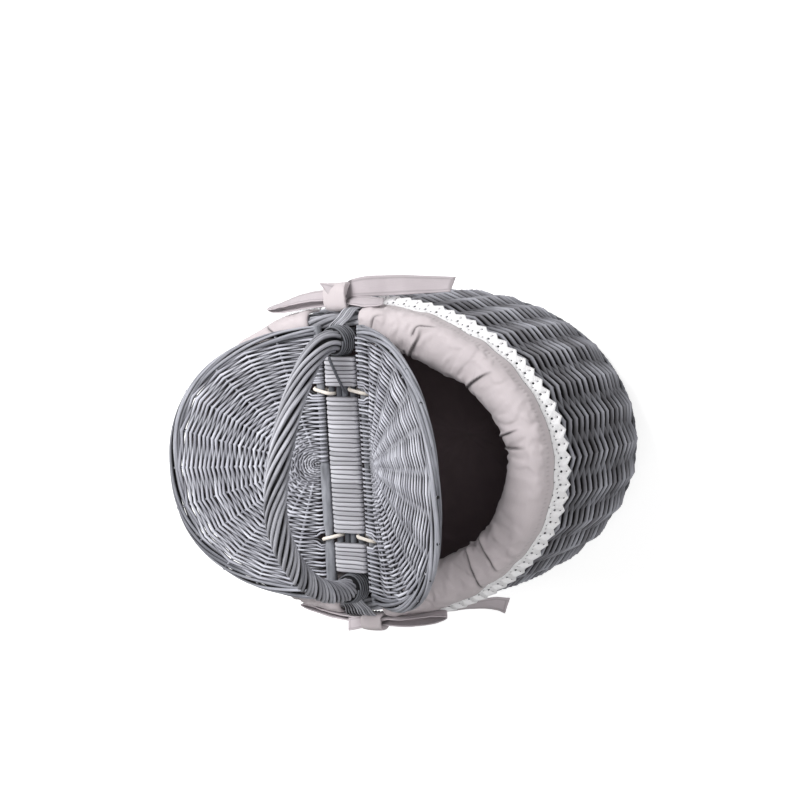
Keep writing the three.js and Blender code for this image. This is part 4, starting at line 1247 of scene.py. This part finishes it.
def ribbon(name, stations, node, knot, free_end=False):
    """A ribbon through stations, each a point on one edge and a point on the other, with painted shade along
    its hem lines and a painted shadow beside its knot.
    """
    rows = 14
    hem_row = 2
    edges = [smooth([station[k] for station in stations], 9) for k in (0, 1)]
    middle = [(a + b) / 2 for a, b in zip(*edges)]
    run = run_along(middle)
    total = run[-1]
    width = sum((b - a).length for a, b in zip(*edges)) / len(middle)
    columns = len(middle) - 1

    def place(s, t):
        i = round(s * columns)
        across = edges[1][i] - edges[0][i]
        ahead = middle[min(i + 1, columns)] - middle[max(i - 1, 0)]
        up = ahead.cross(across).normalized()
        lift = 0.5 * waver(run[i] * 0.06, t * 1.6, len(name)) + 0.35 * waver(run[i] * 0.15, t * 3, 2)
        return edges[0][i] + across * t + up * lift

    made = sheet(name, columns, rows, place, (total / 10, width / 10))
    dark = np.zeros((rows + 1, columns + 1))
    # Painted shade along both hem lines, and across the hem at a free end.
    dark[[hem_row, rows - hem_row], :] = 0.3
    if free_end:
        dark[hem_row:rows - 1, int(np.searchsorted(run, total - 2.6))] = 0.3
    # Painted shadow of the knot, on a ribbon that reaches well past it.
    middle_x, half_x = knot
    past_knot = np.array([max(0, abs(point.x - middle_x) - half_x) for point in middle])
    if past_knot.max() > RIBBON_CLEAR:
        dark = np.maximum(dark, 0.75 * np.exp(-(past_knot / 1.7) ** 2)[None, :])
    mark_points(made, dark)
    give_thickness(made, RIBBON_THICKNESS)
    finish_piece(made, ribbon_cotton_painted_shade, "cotton_pale", node)


def wrap_knot(name, side, middle, half):
    """The band round the middle of a bow, with shallow folds along it and its ends tucked in."""
    seen = 0.66

    def place(s, t):
        angle = 2 * math.pi * s
        across = (2 * t - 1) / seen
        tucked = max(0, (abs(across) - 1) / 0.515)
        across = max(-1, min(1, across)) * (1 - 0.4 * tucked)
        swell = (1 + 0.035 * math.sin(7 * t + 2 * math.cos(angle)) - 0.03 * across ** 4) * (1 - 0.9 * tucked)
        x = middle[0] + across * half[0] * (1 + 0.05 * math.sin(angle))
        x += 0.8 * waver(4 * math.cos(angle), t, side)
        y = middle[1] + half[1] * swell * signed_power(math.cos(angle), 0.72)
        z = middle[2] + half[2] * swell * signed_power(math.sin(angle), 0.72)
        return (x, y, z)

    knot = sheet(f"{name}_bow_wrap", 72, 32, place, (7.6, half[0] / 3.3), join=True)
    give_thickness(knot, RIBBON_THICKNESS)
    finish_piece(knot, pale_cotton, "cotton_pale", f"{name}_bow_knot")


def tie_bow(name, side):
    middle, half = KNOTS[name]
    wrap_knot(name, side, middle, half)
    for part, stations in BOWS[name].items():
        ribbon(f"{name}_bow_{part}_ribbon", stations, f"{name}_bow_{part}",
               (middle[0], half[0]), free_end=part.startswith("tail"))


# Stage


LAMP_AIM = Vector((0, 0, 0.17))


def set_camera():
    """The camera that the outlines of body, lids, bar and handle were fitted with."""
    turn, pitch, roll = math.radians(32.47), math.radians(5.32), math.radians(-3.19)
    distance, focal, shift_x, shift_y, height = 1808.17, 1884.57, -37.24, -58.34, 219.99
    sensor, picture = 36, 800
    back = Vector((math.sin(turn) * math.cos(pitch), math.sin(pitch), math.cos(turn) * math.cos(pitch)))
    up = Vector((0, 1, 0))
    up = (up - back * up.dot(back)).normalized()
    right = up.cross(back)
    rolled_right = right * math.cos(roll) + up * math.sin(roll)
    rolled_up = up * math.cos(roll) - right * math.sin(roll)
    place = Vector((0, 0, height)) + back * distance - rolled_right * shift_x - rolled_up * shift_y
    camera = bpy.data.cameras.new("photo_camera")
    camera.sensor_width = sensor
    camera.lens = focal * sensor / picture
    camera.clip_start = 0.05
    holder = add_object("photo_camera", camera)
    turn_matrix = Matrix((rolled_right, rolled_up, back)).transposed().to_4x4()
    holder.matrix_world = Matrix.Translation(place * MM) @ turn_matrix
    bpy.context.scene.camera = holder


def set_light():
    world = bpy.data.worlds.new("studio")
    bpy.context.scene.world = world
    world.use_nodes = True
    tree = world.node_tree
    tree.nodes.clear()
    seen = put(tree, "LightPath").outputs["Is Camera Ray"]
    strength = math_node(tree, "MULTIPLY_ADD", seen, 0.85, 0.15)
    sky = put(tree, "Background", Color=(1, 1, 1, 1), Strength=strength)
    put(tree, "OutputWorld", Surface=sky.outputs[0])
    lamps = [
        ("key", (-0.35, 1.1, 1.7), 0.9, 33),
        ("fill", (1.4, 0.1, 1.5), 1.2, 14.5),
        ("side", (-1.5, 0.3, 0.9), 1.2, 14),
        ("bounce", (0.4, -0.8, 1.8), 1.2, 5),
    ]
    for name, place, size, power in lamps:
        lamp = bpy.data.lights.new(name, "AREA")
        lamp.size = size
        lamp.energy = power
        holder = add_object(name, lamp)
        holder.location = place
        aim = LAMP_AIM - Vector(place)
        holder.rotation_euler = aim.to_track_quat("-Z", "Y").to_euler()


def lay_floor():
    bm = bmesh.new()
    bmesh.ops.create_grid(bm, x_segments=1, y_segments=1, size=6)
    mesh = bpy.data.meshes.new("floor")
    bm.to_mesh(mesh)
    bm.free()
    floor = add_object("floor", mesh)
    finish, tree, surface = new_finish("pale_floor")
    surface["Base Color"].default_value = (0.6, 0.6, 0.6, 1)
    surface["Roughness"].default_value = 0.9
    surface["Specular IOR Level"].default_value = 0.1
    seen = put(tree, "LightPath").outputs["Is Camera Ray"]
    glow = put(tree, "Emission", Color=(1, 1, 1, 1), Strength=math_node(tree, "MULTIPLY", seen, 0.7))
    shader = tree.nodes["Principled BSDF"].outputs[0]
    both = put(tree, "AddShader", order=(shader, glow.outputs[0]))
    fill(tree, tree.nodes["Material Output"].inputs[0], both.outputs[0])
    mesh.materials.append(finish)


bpy.context.scene.view_settings.view_transform = "Standard"
set_camera()
set_light()
lay_floor()
weave_side()
weave_border_and_hoop()
weave_base()
rope_handle()
bind_handle()
wind_bar()
tie_hinges()
for lid_name, lid_side in SIDES:
    weave_lid(lid_name, lid_side)
    edge_lid(lid_name, lid_side)
    lay_hinge_rod(lid_name, lid_side)
sew_liner()
sew_pouch()
tie_bow("front", 1)
tie_bow("back", -1)
